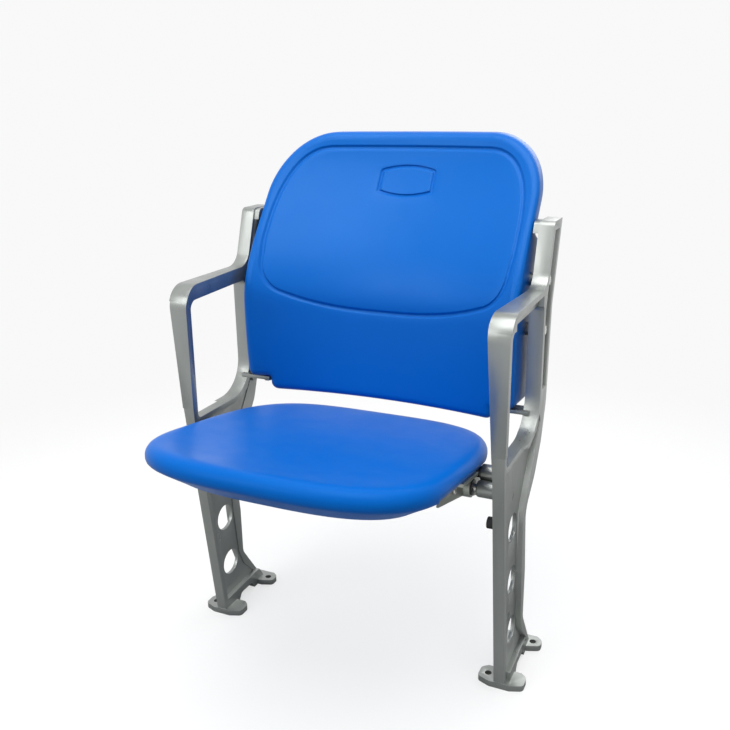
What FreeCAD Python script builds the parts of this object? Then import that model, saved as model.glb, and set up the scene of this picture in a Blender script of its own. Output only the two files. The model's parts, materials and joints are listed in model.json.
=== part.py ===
import FreeCAD, Part
import math
import os
import re
import Sketcher

# Stadium seat: two cast side frames, a moulded back between the uprights, and a moulded seat
# that tips up about two pivot pins. Millimetres. +X is the sitter's left, the front faces -Y,
# +Z is up. The floor is z = 0 and x = 0 is the plane of symmetry.

doc = FreeCAD.newDocument("StadiumSeat")
sheet = doc.addObject("Spreadsheet::Sheet", "Sizes")

# Driving dimensions: name, millimetres or degrees, meaning
SIZES = [
    ("depth_datum", 9.4, "depth of the seat's middle, which becomes the origin"),
    ("frame_inner", 254.0, "half the clear width between the side frames"),
    ("leg_width", 18.0, "width of the leg's front flange"),
    ("upright_width", 24.0, "width of the upright's front flange"),
    ("web_inner", 263.0, "inner face of the frame's web, from the middle"),
    ("web_wall", 6.0, "wall of the frame's web"),
    ("rear_inner", 261.0, "inner face of the leg's rear flange, from the middle"),
    ("foot_front", -9.0, "leg's front edge at the floor, along the depth"),
    ("knee_front", -61.0, "leg's front edge at the loop"),
    ("knee_height", 420.0, "height of that point"),
    ("arm_front", -71.0, "front of the arm"),
    ("arm_top", 626.0, "height of the arm's top face"),
    ("arm_depth", 24.0, "depth of the arm's section"),
    ("arm_flare", 10.4, "how far the arm's front corner widens inwards"),
    ("post_wall", 12.5, "thickness of the post below the arm"),
    ("loop_floor", 400.0, "height of the loop's lower strip, top face"),
    ("loop_wall", 10.0, "thickness of that strip"),
    ("upright_front", 117.5, "front face of the upright"),
    ("upright_depth", 52.0, "depth of the upright"),
    ("lean_height", 592.0, "height at which the upright starts to lean back"),
    ("lean_angle", 18.5, "lean of the upright's top, degrees"),
    ("upright_top", 722.0, "height of the upright"),
    ("front_flange", 11.0, "thickness of the front flange"),
    ("rear_flange", 10.0, "thickness of the rear flange"),
    ("leg_depth", 99.5, "depth of the leg at its narrowest height"),
    ("hip_height", 288.0, "height at which the leg's rear edge sweeps back"),
    ("sweep_low_y", 104.0, "sweep's lower corner, depth"),
    ("sweep_low_z", 327.0, "sweep's lower corner, height"),
    ("sweep_high_y", 138.0, "sweep's upper corner, depth"),
    ("sweep_high_z", 374.0, "sweep's upper corner, height"),
    ("hip_top", 435.0, "height at which the sweep meets the upright"),
    ("hip_set", 9.5, "upright's rear edge at that height, ahead of its place at the lean"),
    ("ankle_y", 68.5, "leg's rear edge above the foot, depth"),
    ("ankle_z", 88.0, "height at which the foot spreads to the rear"),
    ("calf_z", 175.0, "height to which that edge is upright"),
    ("hole_diameter", 46.5, "round holes in the leg's web"),
    ("hole_pitch", 95.0, "vertical distance between those holes"),
    ("hole_lowest", 87.0, "height of the lowest hole"),
    ("hole_low_y", 29.0, "depth of the lowest hole"),
    ("hole_high_y", 12.5, "depth of the highest hole"),
    ("web_foot", 26.0, "height of the web recess's lower edge"),
    ("arm_skin", 9.0, "thickness of the arm's top, outside its recess"),
    ("arm_solid", 14.0, "solid length behind the post, outside the arm's recess"),
    ("loop_bend", 60.0, "radius of the loop's rear lower corner"),
    ("loop_corner", 9.0, "radius of the loop's small corners"),
    ("arm_inside", 14.0, "radius inside the arm's front corner"),
    ("arm_corner", 36.0, "radius outside the arm's front corner"),
    ("arm_root", 32.0, "radius where the arm meets the upright"),
    ("top_corner", 11.0, "radius of the upright's top"),
    ("hip_radius", 34.0, "radius at the leg's narrowest height"),
    ("sweep_radius", 24.0, "radii of the sweep and of the foot's spread"),
    ("calf_radius", 60.0, "radii of the rear edge's slight bends"),
    ("gusset_run", 26.0, "first run of the foot's spread to the rear"),
    ("gusset_drop", 38.0, "fall over that run"),
    ("arch_height", 14.0, "height of the arch between the foot pads"),
    ("arch_run", 9.0, "run of the arch's sloping ends"),
    ("arch_radius", 8.0, "radius of the arch's corners"),
    ("cut_past", 20.0, "how far cutting outlines reach past the casting"),
    ("flare_start", 30.0, "height below the loop at which the arm's widening starts"),
    ("flare_end", 25.0, "distance ahead of the upright at which it ends"),
    ("post_plane", 40.0, "rear limit of the post's narrowing, ahead of the origin"),
    ("post_spread", 4.5, "how much wider the post is at the arm than the leg's front flange"),
    ("strip_end", 56.0, "distance ahead of the upright at which the loop's strip starts to rise"),
    ("sweep_flange", 41.0, "rear flange along the depth, at the sweep"),
    ("calf_flange", 22.5, "rear flange beside the middle hole"),
    ("ankle_flange", 13.5, "rear flange beside the lowest hole"),
    ("flange_step", 1.0, "how far the flange's step lies ahead of the recess"),
    ("upright_solid", 28.0, "solid height between the two web recesses"),
    ("cap_height", 14.0, "thickness of the upright's cap"),
    ("foot_height", 10.0, "thickness of the foot pads"),
    ("foot_half", 37.5, "half width of a foot pad"),
    ("foot_nose", 17.0, "half width of a pad's straight front edge"),
    ("foot_heel", 27.0, "half width of a pad's straight rear edge"),
    ("foot_chamfer", 8.0, "depth of the pad's front chamfers"),
    ("front_pad_start", -12.0, "front pad, from"),
    ("front_pad_length", 39.0, "front pad, length"),
    ("rear_pad_start", 101.0, "rear pad, from"),
    ("rear_pad_length", 33.0, "rear pad, length"),
    ("rear_lead", 12.0, "how far the casting stands ahead of the rear pad"),
    ("front_lap", 8.0, "how far the casting reaches behind the front pad"),
    ("anchor_diameter", 11.0, "anchor holes in the pads"),
    ("anchor_offset", 23.0, "anchor hole's distance from the leg's middle plane"),
    ("pivot_y", -4.0, "hinge axis, depth"),
    ("pivot_drop", 66.0, "hinge axis below the seat's rim"),
    ("pin_diameter", 12.0, "pivot pin"),
    ("pin_length", 46.0, "length of the pivot pin"),
    ("boss_end", 217.0, "inner end of the pivot and stop bosses, from the middle"),
    ("boss_diameter", 21.0, "pivot boss at its inner end"),
    ("boss_draft", 2.0, "taper of the cast bosses, degrees"),
    ("ear_wall", 13.0, "thickness of the bracket's ear"),
    ("ear_radius", 16.0, "radius of the bracket's ear"),
    ("bush_wall", 2.5, "wall of the pivot bush"),
    ("bush_flange", 2.0, "thickness of the bush's flange"),
    ("bush_collar", 4.0, "how far that flange stands out round the bush"),
    ("fit_running", 0.06, "radial clearance of the pin in its bush"),
    ("fit_seated", 0.02, "radial clearance of pieces that stay put"),
    ("face_gap", 0.3, "gap between faces that meet in use"),
    ("stop_y", 18.0, "stop boss behind the pivot"),
    ("stop_z", 19.0, "stop boss above the pivot"),
    ("stop_diameter", 21.0, "stop boss at its inner end"),
    ("buffer_diameter", 18.0, "rubber stop buffer"),
    ("spigot_diameter", 10.0, "spigot that carries the buffer"),
    ("lug_y", 36.0, "bracket's stop lug behind the pivot"),
    ("lug_z", -18.0, "bracket's stop lug above the pivot"),
    ("lug_diameter", 12.0, "bracket's stop lug"),
    ("lug_end", 250.0, "outer end of the stop lug, from the middle"),
    ("tip_angle", 75.0, "travel of the seat, degrees"),
    ("bumper_diameter", 18.0, "rubber bumper on the leg"),
    ("bumper_length", 13.0, "length of the bumper"),
    ("bumper_screw", 6.0, "how deep the bumper's screw enters the frame"),
    ("ear_foot", 703.0, "lower face of the ear at the upright's top"),
    ("ear_gap", 2.0, "clear space between that ear and the back"),
    ("ear_depth", 30.0, "that ear's rear edge behind the upright's front"),
    ("seat_half_width", 247.0, "half width of the seat at its rim"),
    ("seat_widest", -139.0, "depth at which the seat is widest"),
    ("seat_forward", 163.0, "from there to the seat's front"),
    ("seat_rearward", 285.0, "from there to the seat's rear"),
    ("seat_rim_height", 407.0, "height of the rim where the seat is widest"),
    ("seat_slope", 8.5, "slope of the seat down to the rear, degrees"),
    ("seat_crown", 17.0, "seat above its rim"),
    ("seat_belly", 37.0, "seat below its rim"),
    ("seat_taper", 46.0, "how far the underside is drawn in"),
    ("seat_dish", 7.0, "depth of the seat's dished top"),
    ("front_power", 2.34, "squareness of the seat's front outline, 2 for an ellipse"),
    ("rear_power", 3.02, "squareness of its rear outline"),
    ("room_start", 12.0, "recess for the bracket, from, along the seat"),
    ("room_length", 212.0, "length of that recess"),
    ("room_depth", 60.0, "depth of the cutting block below the ceiling"),
    ("room_width", 80.0, "width of the cutting block"),
    ("stop_room", 3.0, "clear space round the bosses in the seat"),
    ("plate_inner", 196.0, "inner face of the hinge bracket's plate, from the middle"),
    ("plate_wall", 3.5, "thickness of that plate"),
    ("ceiling_drop", 10.0, "seat's recess for the bracket: its ceiling below the rim plane"),
    ("flange_start", 40.0, "bracket's flange, from, along the seat"),
    ("flange_end", 110.0, "bracket's flange, to"),
    ("flange_width", 30.0, "width of that flange"),
    ("flange_wall", 5.0, "thickness of that flange"),
    ("flange_screw_in", 20.0, "flange screws beyond the plate's inner face"),
    ("flange_screw_front", 56.0, "front flange screw, along the seat"),
    ("flange_screw_rear", 94.0, "rear flange screw, along the seat"),
    ("plate_screw_along", 81.1, "screw through the plate, along the seat"),
    ("plate_screw_drop", 25.4, "that screw below the recess's ceiling"),
    ("plate_front", 16.0, "plate's front corner, along the seat"),
    ("plate_front_top", 31.0, "plate's front corner at the ceiling"),
    ("plate_rear_top", 146.0, "plate's rear corner at the ceiling"),
    ("plate_depth", 32.0, "plate's depth at its front"),
    ("buffer_gap", 0.8, "clear space between that plate and the buffer's end"),
    ("back_half_width", 243.0, "half width of the back"),
    ("back_bottom", 408.0, "lowest edge of the back"),
    ("back_notch", 24.0, "height of the notches at the back's lower corners"),
    ("notch_width", 38.0, "width of those notches"),
    ("notch_corner", 14.0, "radius of their corners"),
    ("back_top", 847.0, "top edge of the back"),
    ("back_corner", 100.0, "radius of the back's top corners"),
    ("back_wall", 44.0, "thickness of the back, front to rear"),
    ("back_thinning", 8.0, "how much thinner it is at the top"),
    ("back_margin", 12.0, "how far the uncut back reaches past its outline"),
    ("back_face", 122.0, "front face of the back at its bottom, on the middle plane"),
    ("back_slope", 0.1, "run per rise of the lower back"),
    ("back_recline", 117.0, "further set-back of the top"),
    ("recline_start", 570.0, "height at which the back starts to recline"),
    ("recline_rise", 280.0, "height over which it reclines"),
    ("back_dish", 63.0, "hollow of the back across its width, at its deepest"),
    ("dish_fall_low", 30.0, "how much shallower it is at the back's bottom"),
    ("dish_fall_high", 15.5, "how much shallower it is at the back's top"),
    ("dish_height", 650.0, "height of the deepest hollow"),
    ("rib_width", 26.0, "mounting ribs behind the back's edges, width"),
    ("rib_top", 690.0, "height of those ribs"),
    ("rib_draw", 14.0, "how far their rear is drawn in at the bottom"),
    ("rib_inset", 6.0, "their faces within the upright's"),
    ("rib_back_set", 13.0, "how far their front is set back at the top"),
    ("bolt_diameter", 8.0, "bolts of the back"),
    ("bolt_flats", 13.0, "their heads across the flats"),
    ("bolt_head", 5.3, "height of their heads"),
    ("bolt_grip", 17.0, "how deep they enter the back"),
    ("washer_diameter", 16.0, "washers under their heads"),
    ("washer_wall", 1.6, "thickness of those washers"),
    ("mount_diameter", 20.8, "round mounts on the uprights, for the back"),
    ("insert_diameter", 12.0, "threaded inserts of the back"),
    ("insert_length", 20.0, "length of those inserts"),
    ("screw_diameter", 6.0, "screws of the seat brackets"),
    ("screw_head_diameter", 10.5, "their heads"),
    ("screw_head", 3.3, "height of their heads"),
    ("screw_grip", 14.0, "how deep they enter the seat"),
    ("seat_insert_diameter", 9.0, "threaded inserts of the seat"),
    ("seat_insert_length", 16.0, "length of those inserts"),
    ("bumper_bolt", 4.0, "screw of the rubber bumper"),
    ("bumper_head_diameter", 8.0, "its head"),
    ("bumper_head", 3.0, "height of its head"),
    ("bumper_recess", 5.0, "depth of the bumper's recess for that head"),
    ("flange_hole", 7.6, "screw holes of the bracket's flange"),
    ("bolt_low", 556.0, "height of the lower back bolts"),
    ("bolt_high", 632.0, "height of the upper back bolts"),
    ("tab_reach", 48.0, "ledge under the back's lower corner, inward length"),
    ("tab_depth", 26.0, "ledge, front to rear"),
    ("tab_wall", 6.0, "thickness of the ledge"),
    ("tab_ahead", 13.5, "how far the ledge starts ahead of the upright"),
    ("tab_bolt_in", 11.0, "its bolt hole from its inner end"),
    ("lower_grip", 17.0, "how deep the ledge's bolt enters the back"),
]
# Sizes that follow from others
TIES = [
    ("pivot_z", "seat_rim_height - pivot_drop", "hinge axis, height"),
    ("upright_rear", "upright_front + upright_depth", "rear face of the upright"),
    ("web_outer", "web_inner + web_wall", "outer face of the frame's web, from the middle"),
    ("ledge_top", "back_bottom + back_notch", "top of the ledge under the back's lower corner"),
    ("arm_under", "arm_top - arm_depth", "underside of the arm"),
    ("strip_under", "loop_floor - loop_wall", "underside of the loop's lower strip"),
    ("cap_under", "upright_top - cap_height", "underside of the upright's cap"),
    ("leg_outer", "frame_inner + leg_width", "outer face of the leg's front flange"),
    ("leg_middle", "frame_inner + leg_width / 2", "middle plane of the leg"),
    ("upright_outer", "frame_inner + upright_width", "outer face of the upright"),
    ("arm_inner", "frame_inner - arm_flare", "inner edge of the arm's front corner"),
    ("bore_bolt", "bolt_diameter + 2 * fit_seated", "clearance hole of the back's bolts"),
    ("bore_screw", "screw_diameter + 2 * fit_seated", "clearance hole of the bracket screws"),
]
NAMES = [name for name, size, meaning in SIZES]
for row, (name, size, meaning) in enumerate(SIZES + TIES, start=1):
    sheet.set("A%d" % row, meaning)
    sheet.set("B%d" % row, "%g" % size if name in NAMES else "=" + size)
    sheet.setAlias("B%d" % row, name)
doc.recompute()
NAMES += [name for name, size, meaning in TIES]
WORD = re.compile(r"\b(" + "|".join(NAMES) + r")\b")


def bound(text):
    """The expression with each size's name pointing at the sheet."""
    return WORD.sub(r"Sizes.\1", text)


def val(text):
    """The number that an expression of sizes stands for."""
    return float(sheet.evalExpression(text))


# Sketch helpers

def newBody(name):
    body = doc.addObject("PartDesign::Body", name)
    body.Label = name
    return body


def newSketch(body, name, role, offset="0"):
    """A sketch on one of the body's own planes, moved along its normal by offset."""
    sketch = body.newObject("Sketcher::SketchObject", name)
    plane = [item for item in body.Origin.OriginFeatures if item.Role == role][0]
    sketch.AttachmentSupport = [(plane, "")]
    sketch.MapMode = "FlatFace"
    sketch.setExpression("AttachmentOffset.Base.z", bound(offset))
    return sketch


def placePoint(sketch, geometry, end, across, up):
    for kind, text in (("DistanceX", across), ("DistanceY", up)):
        index = sketch.addConstraint(Sketcher.Constraint(kind, -1, 1, geometry, end, val(text)))
        sketch.setExpression("Constraints[%d]" % index, bound(text))


def polygon(sketch, points):
    """A closed outline whose corners are expressions of the sizes."""
    corners = [FreeCAD.Vector(val(across), val(up), 0) for across, up in points]
    first = sketch.GeometryCount
    count = len(points)
    for i in range(count):
        sketch.addGeometry(Part.LineSegment(corners[i], corners[(i + 1) % count]), False)
    for i in range(count):
        follower = first + (i + 1) % count
        sketch.addConstraint(Sketcher.Constraint("Coincident", first + i, 2, follower, 1))
    for i, (across, up) in enumerate(points):
        placePoint(sketch, first + i, 1, across, up)


def circle(sketch, across, up, diameter):
    centre = FreeCAD.Vector(val(across), val(up), 0)
    index = sketch.addGeometry(Part.Circle(centre, FreeCAD.Vector(0, 0, 1), val(diameter) / 2), False)
    placePoint(sketch, index, 3, across, up)
    rule = sketch.addConstraint(Sketcher.Constraint("Diameter", index, val(diameter)))
    sketch.setExpression("Constraints[%d]" % rule, bound(diameter))


def pad(body, sketch, length, reverse=False, taper=None):
    feature = body.newObject("PartDesign::Pad", sketch.Name + "_pad")
    feature.Profile = sketch
    feature.Reversed = reverse
    feature.setExpression("Length", bound(length))
    if taper:
        feature.setExpression("TaperAngle", bound(taper))
    return finishFeature(body, feature, 1)


def pocket(body, sketch, reverse=False, length=None):
    feature = body.newObject("PartDesign::Pocket", sketch.Name + "_cut")
    feature.Profile = sketch
    feature.Reversed = reverse
    if length:
        feature.setExpression("Length", bound(length))
    else:
        feature.Type = "ThroughAll"
    return finishFeature(body, feature, -1)


def finishFeature(body, feature, sense):
    """Recompute, and stop if the feature did nothing or the wrong thing."""
    before = getattr(feature.BaseFeature, "Shape", None)
    feature.Refine = False
    doc.recompute()
    if feature.Shape.isNull():
        raise RuntimeError("no shape: " + feature.Name)
    if before is not None and (feature.Shape.Volume - before.Volume) * sense <= 0:
        raise RuntimeError("changes nothing: " + feature.Name)
    return feature


def roundEdges(body, radius, wanted, name):
    """Fillet the edges of the body's tip for which wanted(edge) is true."""
    base = body.Tip
    names = ["Edge%d" % (i + 1) for i, edge in enumerate(base.Shape.Edges) if wanted(edge)]
    if not names:
        raise RuntimeError("no edges to round: " + name)
    feature = body.newObject("PartDesign::Fillet", name)
    feature.Base = (base, names)
    feature.setExpression("Radius", bound(radius))
    doc.recompute()
    if feature.Shape.isNull():
        raise RuntimeError("fillet failed: " + name)
    return feature


def alongX(edge):
    if edge.Curve.TypeId != "Part::GeomLine":
        return False
    return abs(edge.tangentAt(edge.FirstParameter).x) > 0.999


def alongZ(edge):
    if edge.Curve.TypeId != "Part::GeomLine":
        return False
    return abs(edge.tangentAt(edge.FirstParameter).z) > 0.999


def nearYZ(points, reach=1.0):
    """A test for edges along X that pass through one of the (y, z) points."""
    targets = [(val(y), val(z)) for y, z in points]

    def wanted(edge):
        if not alongX(edge):
            return False
        place = edge.CenterOfMass
        return any(math.hypot(place.y - y, place.z - z) < reach for y, z in targets)
    return wanted


# Lines of the side view, as expressions of height

def slopedLine(y_low, z_low, y_high, z_high):
    """The expression giving depth at a height, on a line through two points."""
    def at(z):
        return "(%s) + ((%s) - (%s)) * ((%s) - (%s)) / ((%s) - (%s))" % (
            y_low, y_high, y_low, z, z_low, z_high, z_low)
    return at


legFront = slopedLine("foot_front", "0", "knee_front", "knee_height")
postFront = slopedLine("knee_front", "knee_height", "arm_front", "arm_top")
holeLine = slopedLine("hole_low_y", "hole_lowest", "hole_high_y", "hole_lowest + 2 * hole_pitch")
LEG_LINE = "(knee_front - foot_front) * hip_height / knee_height + foot_front"
HIP_Y = "(" + LEG_LINE + " + leg_depth)"
SWEEP_Y = "(upright_rear - hip_set)"
uprightRear = slopedLine(SWEEP_Y, "hip_top", "upright_rear", "lean_height")


def lean(z):
    return "tan(lean_angle) * (%s - lean_height)" % z


REAR_PAD_END = "(rear_pad_start + rear_pad_length)"
FRONT_PAD_END = "(front_pad_start + front_pad_length)"


def sideFrame(name, side):
    """One cast side frame; side is 1 for +X and -1 for -X."""
    body = newBody(name)
    low = "arm_inner" if side > 0 else "-upright_outer"
    thickness = "upright_outer - arm_inner"

    def x(text):
        return "(%d) * (%s)" % (side, text)

    # Blank of the side view: foot, leg, post, arm and upright
    blank = newSketch(body, name + "_outline", "YZ_Plane", low)
    top_front = "(upright_front + " + lean("upright_top") + ")"
    outline = [
        ("foot_front", "0"),
        ("knee_front", "knee_height"),
        ("arm_front", "arm_top"),
        ("upright_front + " + lean("arm_top"), "arm_top"),
        (top_front, "upright_top"),
        (top_front + " + upright_depth", "upright_top"),
        ("upright_rear", "lean_height"),
        (SWEEP_Y, "hip_top"),
        ("sweep_high_y", "sweep_high_z"),
        ("sweep_low_y", "sweep_low_z"),
        (HIP_Y, "hip_height"),
        ("ankle_y", "calf_z"),
        ("ankle_y", "ankle_z"),
        ("ankle_y + gusset_run", "ankle_z - gusset_drop"),
        (REAR_PAD_END + " - rear_lead", "foot_height"),
        (REAR_PAD_END + " - rear_lead", "0"),
        ("rear_pad_start - rear_lead", "0"),
        ("rear_pad_start - rear_lead - arch_run", "arch_height"),
        (FRONT_PAD_END + " + front_lap + arch_run", "arch_height"),
        (FRONT_PAD_END + " + front_lap", "0"),
    ]
    polygon(blank, outline)
    pad(body, blank, thickness)

    # Arm loop
    window = newSketch(body, name + "_window", "YZ_Plane", low)
    polygon(window, [
        (postFront("loop_floor") + " + post_wall", "loop_floor"),
        ("upright_front", "loop_floor"),
        ("upright_front", "arm_under"),
        (postFront("arm_under") + " + post_wall", "arm_under"),
    ])
    pocket(body, window, reverse=True)
    roundEdges(body, "loop_bend", nearYZ([("upright_front", "loop_floor")]), name + "_loop_bend")
    roundEdges(body, "loop_corner", nearYZ([
        (postFront("loop_floor") + " + post_wall", "loop_floor"),
        ("upright_front", "arm_under")]), name + "_loop_corners")
    roundEdges(body, "arm_inside",
               nearYZ([(postFront("arm_under") + " + post_wall", "arm_under")]),
               name + "_arm_inside")
    roundEdges(body, "arm_corner", nearYZ([("arm_front", "arm_top")]), name + "_arm_corner")
    roundEdges(body, "arm_root", nearYZ([("upright_front + " + lean("arm_top"), "arm_top")]),
               name + "_arm_root")
    roundEdges(body, "top_corner", nearYZ([(top_front, "upright_top")]), name + "_top_front")
    roundEdges(body, "hip_radius", nearYZ([(HIP_Y, "hip_height")]), name + "_hip")
    roundEdges(body, "sweep_radius", nearYZ([
        ("ankle_y", "ankle_z"),
        ("ankle_y + gusset_run", "ankle_z - gusset_drop"),
        ("sweep_low_y", "sweep_low_z"),
        ("sweep_high_y", "sweep_high_z")]), name + "_sweep")
    roundEdges(body, "calf_radius", nearYZ([(SWEEP_Y, "hip_top"), ("ankle_y", "calf_z")]),
               name + "_calf")
    roundEdges(body, "arch_radius", nearYZ([
        ("rear_pad_start - rear_lead - arch_run", "arch_height"),
        (FRONT_PAD_END + " + front_lap + arch_run", "arch_height")]), name + "_arch")

    # Front view: the arm widens inwards
    flare = newSketch(body, name + "_flare", "XZ_Plane")
    polygon(flare, [
        (x("frame_inner"), "-cut_past"),
        (x("frame_inner"), "knee_height - flare_start"),
        (x("arm_inner"), "arm_top"),
        (x("arm_inner"), "upright_top + cut_past"),
        (x("arm_inner - cut_past"), "upright_top + cut_past"),
        (x("arm_inner - cut_past"), "-cut_past"),
    ])
    flare_cut = body.newObject("PartDesign::Pocket", name + "_flare_cut")
    flare_cut.Profile = flare
    flare_cut.Type = "ThroughAll"
    flare_cut.Midplane = True
    finishFeature(body, flare_cut, -1)

    # Plan view: from the arm's corner the inner face runs back to the upright
    plan = newSketch(body, name + "_plan", "XY_Plane", "loop_floor")
    polygon(plan, [
        (x("arm_inner"), "arm_front - 1"),
        (x("frame_inner"), "upright_front - flare_end"),
        (x("frame_inner"), "upright_rear + 7 * cut_past"),
        (x("arm_inner - cut_past"), "upright_rear + 7 * cut_past"),
        (x("arm_inner - cut_past"), "arm_front - 1"),
    ])
    pocket(body, plan, reverse=True)

    # The post is narrower at the loop than at the arm
    post = newSketch(body, name + "_post_side", "XZ_Plane", "post_plane")
    polygon(post, [
        (x("leg_outer"), "hip_height + arch_run"),
        (x("leg_outer + post_spread / 4"), "loop_floor"),
        (x("leg_outer + post_spread"), "arm_under"),
        (x("upright_outer + cut_past"), "arm_under"),
        (x("upright_outer + cut_past"), "hip_height + arch_run"),
    ])
    pocket(body, post, reverse=True)

    # The leg's front flange is narrower than its rear flange
    under = "strip_under"
    front = newSketch(body, name + "_front_flange", "YZ_Plane", x("leg_outer"))
    polygon(front, [
        ("foot_front - cut_past", "-cut_past"),
        ("knee_front - cut_past", "knee_height"),
        ("knee_front + 2 * cut_past", "knee_height"),
        ("upright_front - strip_end", under),
        (legFront("web_foot") + " + front_flange + 1", "web_foot - 1"),
        ("foot_front + cut_past", "-cut_past"),
    ])
    pocket(body, front, reverse=side > 0)

    # Web recesses of the leg and of the upright, on both faces
    leg_recess = [
        (legFront("web_foot") + " + front_flange", "web_foot"),
        (legFront(under) + " + front_flange", under),
        ("upright_front - strip_end", under),
        ("upright_front - 13", "loop_floor + 4"),
        ("upright_front + 2", "loop_floor + 26"),
        ("upright_front + 9", "loop_floor + 12"),
        ("sweep_high_y - sweep_flange", "sweep_high_z - 5"),
        ("sweep_low_y - sweep_flange", "sweep_low_z - 5"),
        (HIP_Y + " - rear_flange - 5", "hip_height"),
        ("ankle_y - calf_flange", "hole_lowest + hole_pitch"),
        ("ankle_y - ankle_flange", "ankle_z + 7"),
        ("ankle_y", "ankle_z - gusset_drop + 12"),
        ("ankle_y + gusset_run + 4", "web_foot + 4"),
    ]
    upright_recess = [
        ("upright_front + front_flange", "hip_top + upright_solid"),
        ("upright_front + front_flange", "lean_height"),
        ("upright_front + front_flange + " + lean("cap_under"), "cap_under"),
        ("upright_rear - rear_flange + " + lean("cap_under"), "cap_under"),
        ("upright_rear - rear_flange", "lean_height"),
        (uprightRear("hip_top + upright_solid") + " - rear_flange", "hip_top + upright_solid"),
    ]
    arm_recess = [
        (postFront("arm_under") + " + post_wall + arm_solid", "arm_under - 2"),
        (postFront("arm_under") + " + post_wall + arm_solid", "arm_top - arm_skin"),
        ("upright_front - 4", "arm_top - arm_skin"),
        ("upright_front - 4", "arm_under - 2"),
    ]
    outer = newSketch(body, name + "_outer_recess", "YZ_Plane", x("web_outer"))
    polygon(outer, leg_recess)
    polygon(outer, upright_recess)
    polygon(outer, arm_recess)
    pocket(body, outer, reverse=side > 0)
    inner = newSketch(body, name + "_inner_recess", "YZ_Plane", x("web_inner"))
    polygon(inner, leg_recess)
    polygon(inner, upright_recess)
    pocket(body, inner, reverse=side < 0)

    # The leg's rear flange stands further out than the front one
    slim = newSketch(body, name + "_rear_flange", "YZ_Plane", x("rear_inner"))
    polygon(slim, [
        ("ankle_y + gusset_run + 3", "web_foot + 3"),
        ("ankle_y - flange_step", "ankle_z - gusset_drop + 12"),
        ("ankle_y - ankle_flange - flange_step", "ankle_z + 7"),
        ("ankle_y - calf_flange - flange_step", "hole_lowest + hole_pitch"),
        (HIP_Y + " - rear_flange - 5 - flange_step", "hip_height"),
        ("sweep_low_y - sweep_flange - flange_step", "sweep_low_z - 5"),
        ("sweep_high_y - sweep_flange - flange_step", "sweep_high_z - 5"),
        ("upright_front + 9 - flange_step", "loop_floor + 12"),
        ("upright_rear + cut_past", "loop_floor + 12"),
        ("upright_rear + cut_past", "web_foot + 3"),
    ])
    pocket(body, slim, reverse=side < 0)

    # Three holes in the leg's web
    holes = newSketch(body, name + "_holes", "YZ_Plane", x("web_inner - 0.5"))
    for i in range(3):
        height = "(hole_lowest + %d * hole_pitch)" % i
        circle(holes, holeLine(height), height, "hole_diameter")
    pocket(body, holes, reverse=side > 0, length="web_wall + 1")

    # Foot pads with one anchor hole each, on opposite sides of the leg
    pads = newSketch(body, name + "_pads", "XY_Plane")
    for start, end in (("front_pad_start", FRONT_PAD_END), ("rear_pad_start", REAR_PAD_END)):
        polygon(pads, [
            (x("leg_middle") + " - foot_nose", start),
            (x("leg_middle") + " + foot_nose", start),
            (x("leg_middle") + " + foot_half", start + " + foot_chamfer"),
            (x("leg_middle") + " + foot_half", end + " - foot_chamfer"),
            (x("leg_middle") + " + foot_heel", end),
            (x("leg_middle") + " - foot_heel", end),
            (x("leg_middle") + " - foot_half", end + " - foot_chamfer"),
            (x("leg_middle") + " - foot_half", start + " + foot_chamfer"),
        ])
    pad(body, pads, "foot_height")
    anchors = newSketch(body, name + "_anchors", "XY_Plane", "foot_height")
    circle(anchors, x("leg_middle") + " - anchor_offset", "front_pad_start + front_pad_length / 2",
           "anchor_diameter")
    circle(anchors, x("leg_middle") + " + anchor_offset", "rear_pad_start + rear_pad_length / 2",
           "anchor_diameter")
    pocket(body, anchors)

    # Bosses that face the seat: pivot, stop and back mounts
    web_face = "web_inner + 1"

    def boss(label, y, z, diameter, end, taper=None):
        root = newSketch(body, name + "_" + label, "YZ_Plane", x(end))
        circle(root, y, z, diameter)
        reach = "(" + web_face + ") - (" + end + ")"
        pad(body, root, reach, reverse=side < 0, taper=taper)

    boss("pivot_boss", "pivot_y", "pivot_z", "boss_diameter", "boss_end", "boss_draft")
    boss("stop_boss", "pivot_y + stop_y", "pivot_z + stop_z", "stop_diameter", "boss_end",
         "boss_draft")
    boss("stop_spigot", "pivot_y + stop_y", "pivot_z + stop_z", "spigot_diameter",
         BUFFER_END + " + 1")
    bore = newSketch(body, name + "_pin_bore", "YZ_Plane", x("boss_end"))
    circle(bore, "pivot_y", "pivot_z", "pin_diameter + 2 * fit_seated")
    pocket(body, bore, reverse=side > 0, length=PIN_BORE)

    # Mounts for the back: round pads with a clearance hole
    for label, y, z in BACK_BOLTS:
        root = newSketch(body, name + "_mount_" + label, "YZ_Plane", x("back_half_width"))
        circle(root, y, z, "mount_diameter")
        pad(body, root, web_face + " - back_half_width", reverse=side < 0)
    clear = newSketch(body, name + "_mount_bores", "YZ_Plane")
    for label, y, z in BACK_BOLTS:
        circle(clear, y, z, "bore_bolt")
    bores = body.newObject("PartDesign::Pocket", name + "_mount_bores_cut")
    bores.Profile = clear
    bores.Type = "ThroughAll"
    bores.Midplane = True
    finishFeature(body, bores, -1)

    # Ledge under the back's lower corner, with a hole for the bolt from below
    tab = newSketch(body, name + "_ledge", "XY_Plane", "ledge_top - tab_wall")
    polygon(tab, [
        (x(web_face), TAB_FRONT),
        (x("frame_inner - tab_reach"), TAB_FRONT),
        (x("frame_inner - tab_reach"), TAB_FRONT + " + tab_depth"),
        (x(web_face), TAB_FRONT + " + tab_depth"),
    ])
    pad(body, tab, "tab_wall")
    hole = newSketch(body, name + "_ledge_hole", "XY_Plane", "ledge_top")
    circle(hole, x(TAB_BOLT_X), TAB_BOLT_Y, "bore_bolt")
    pocket(body, hole, length="tab_wall + 1")

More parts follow.
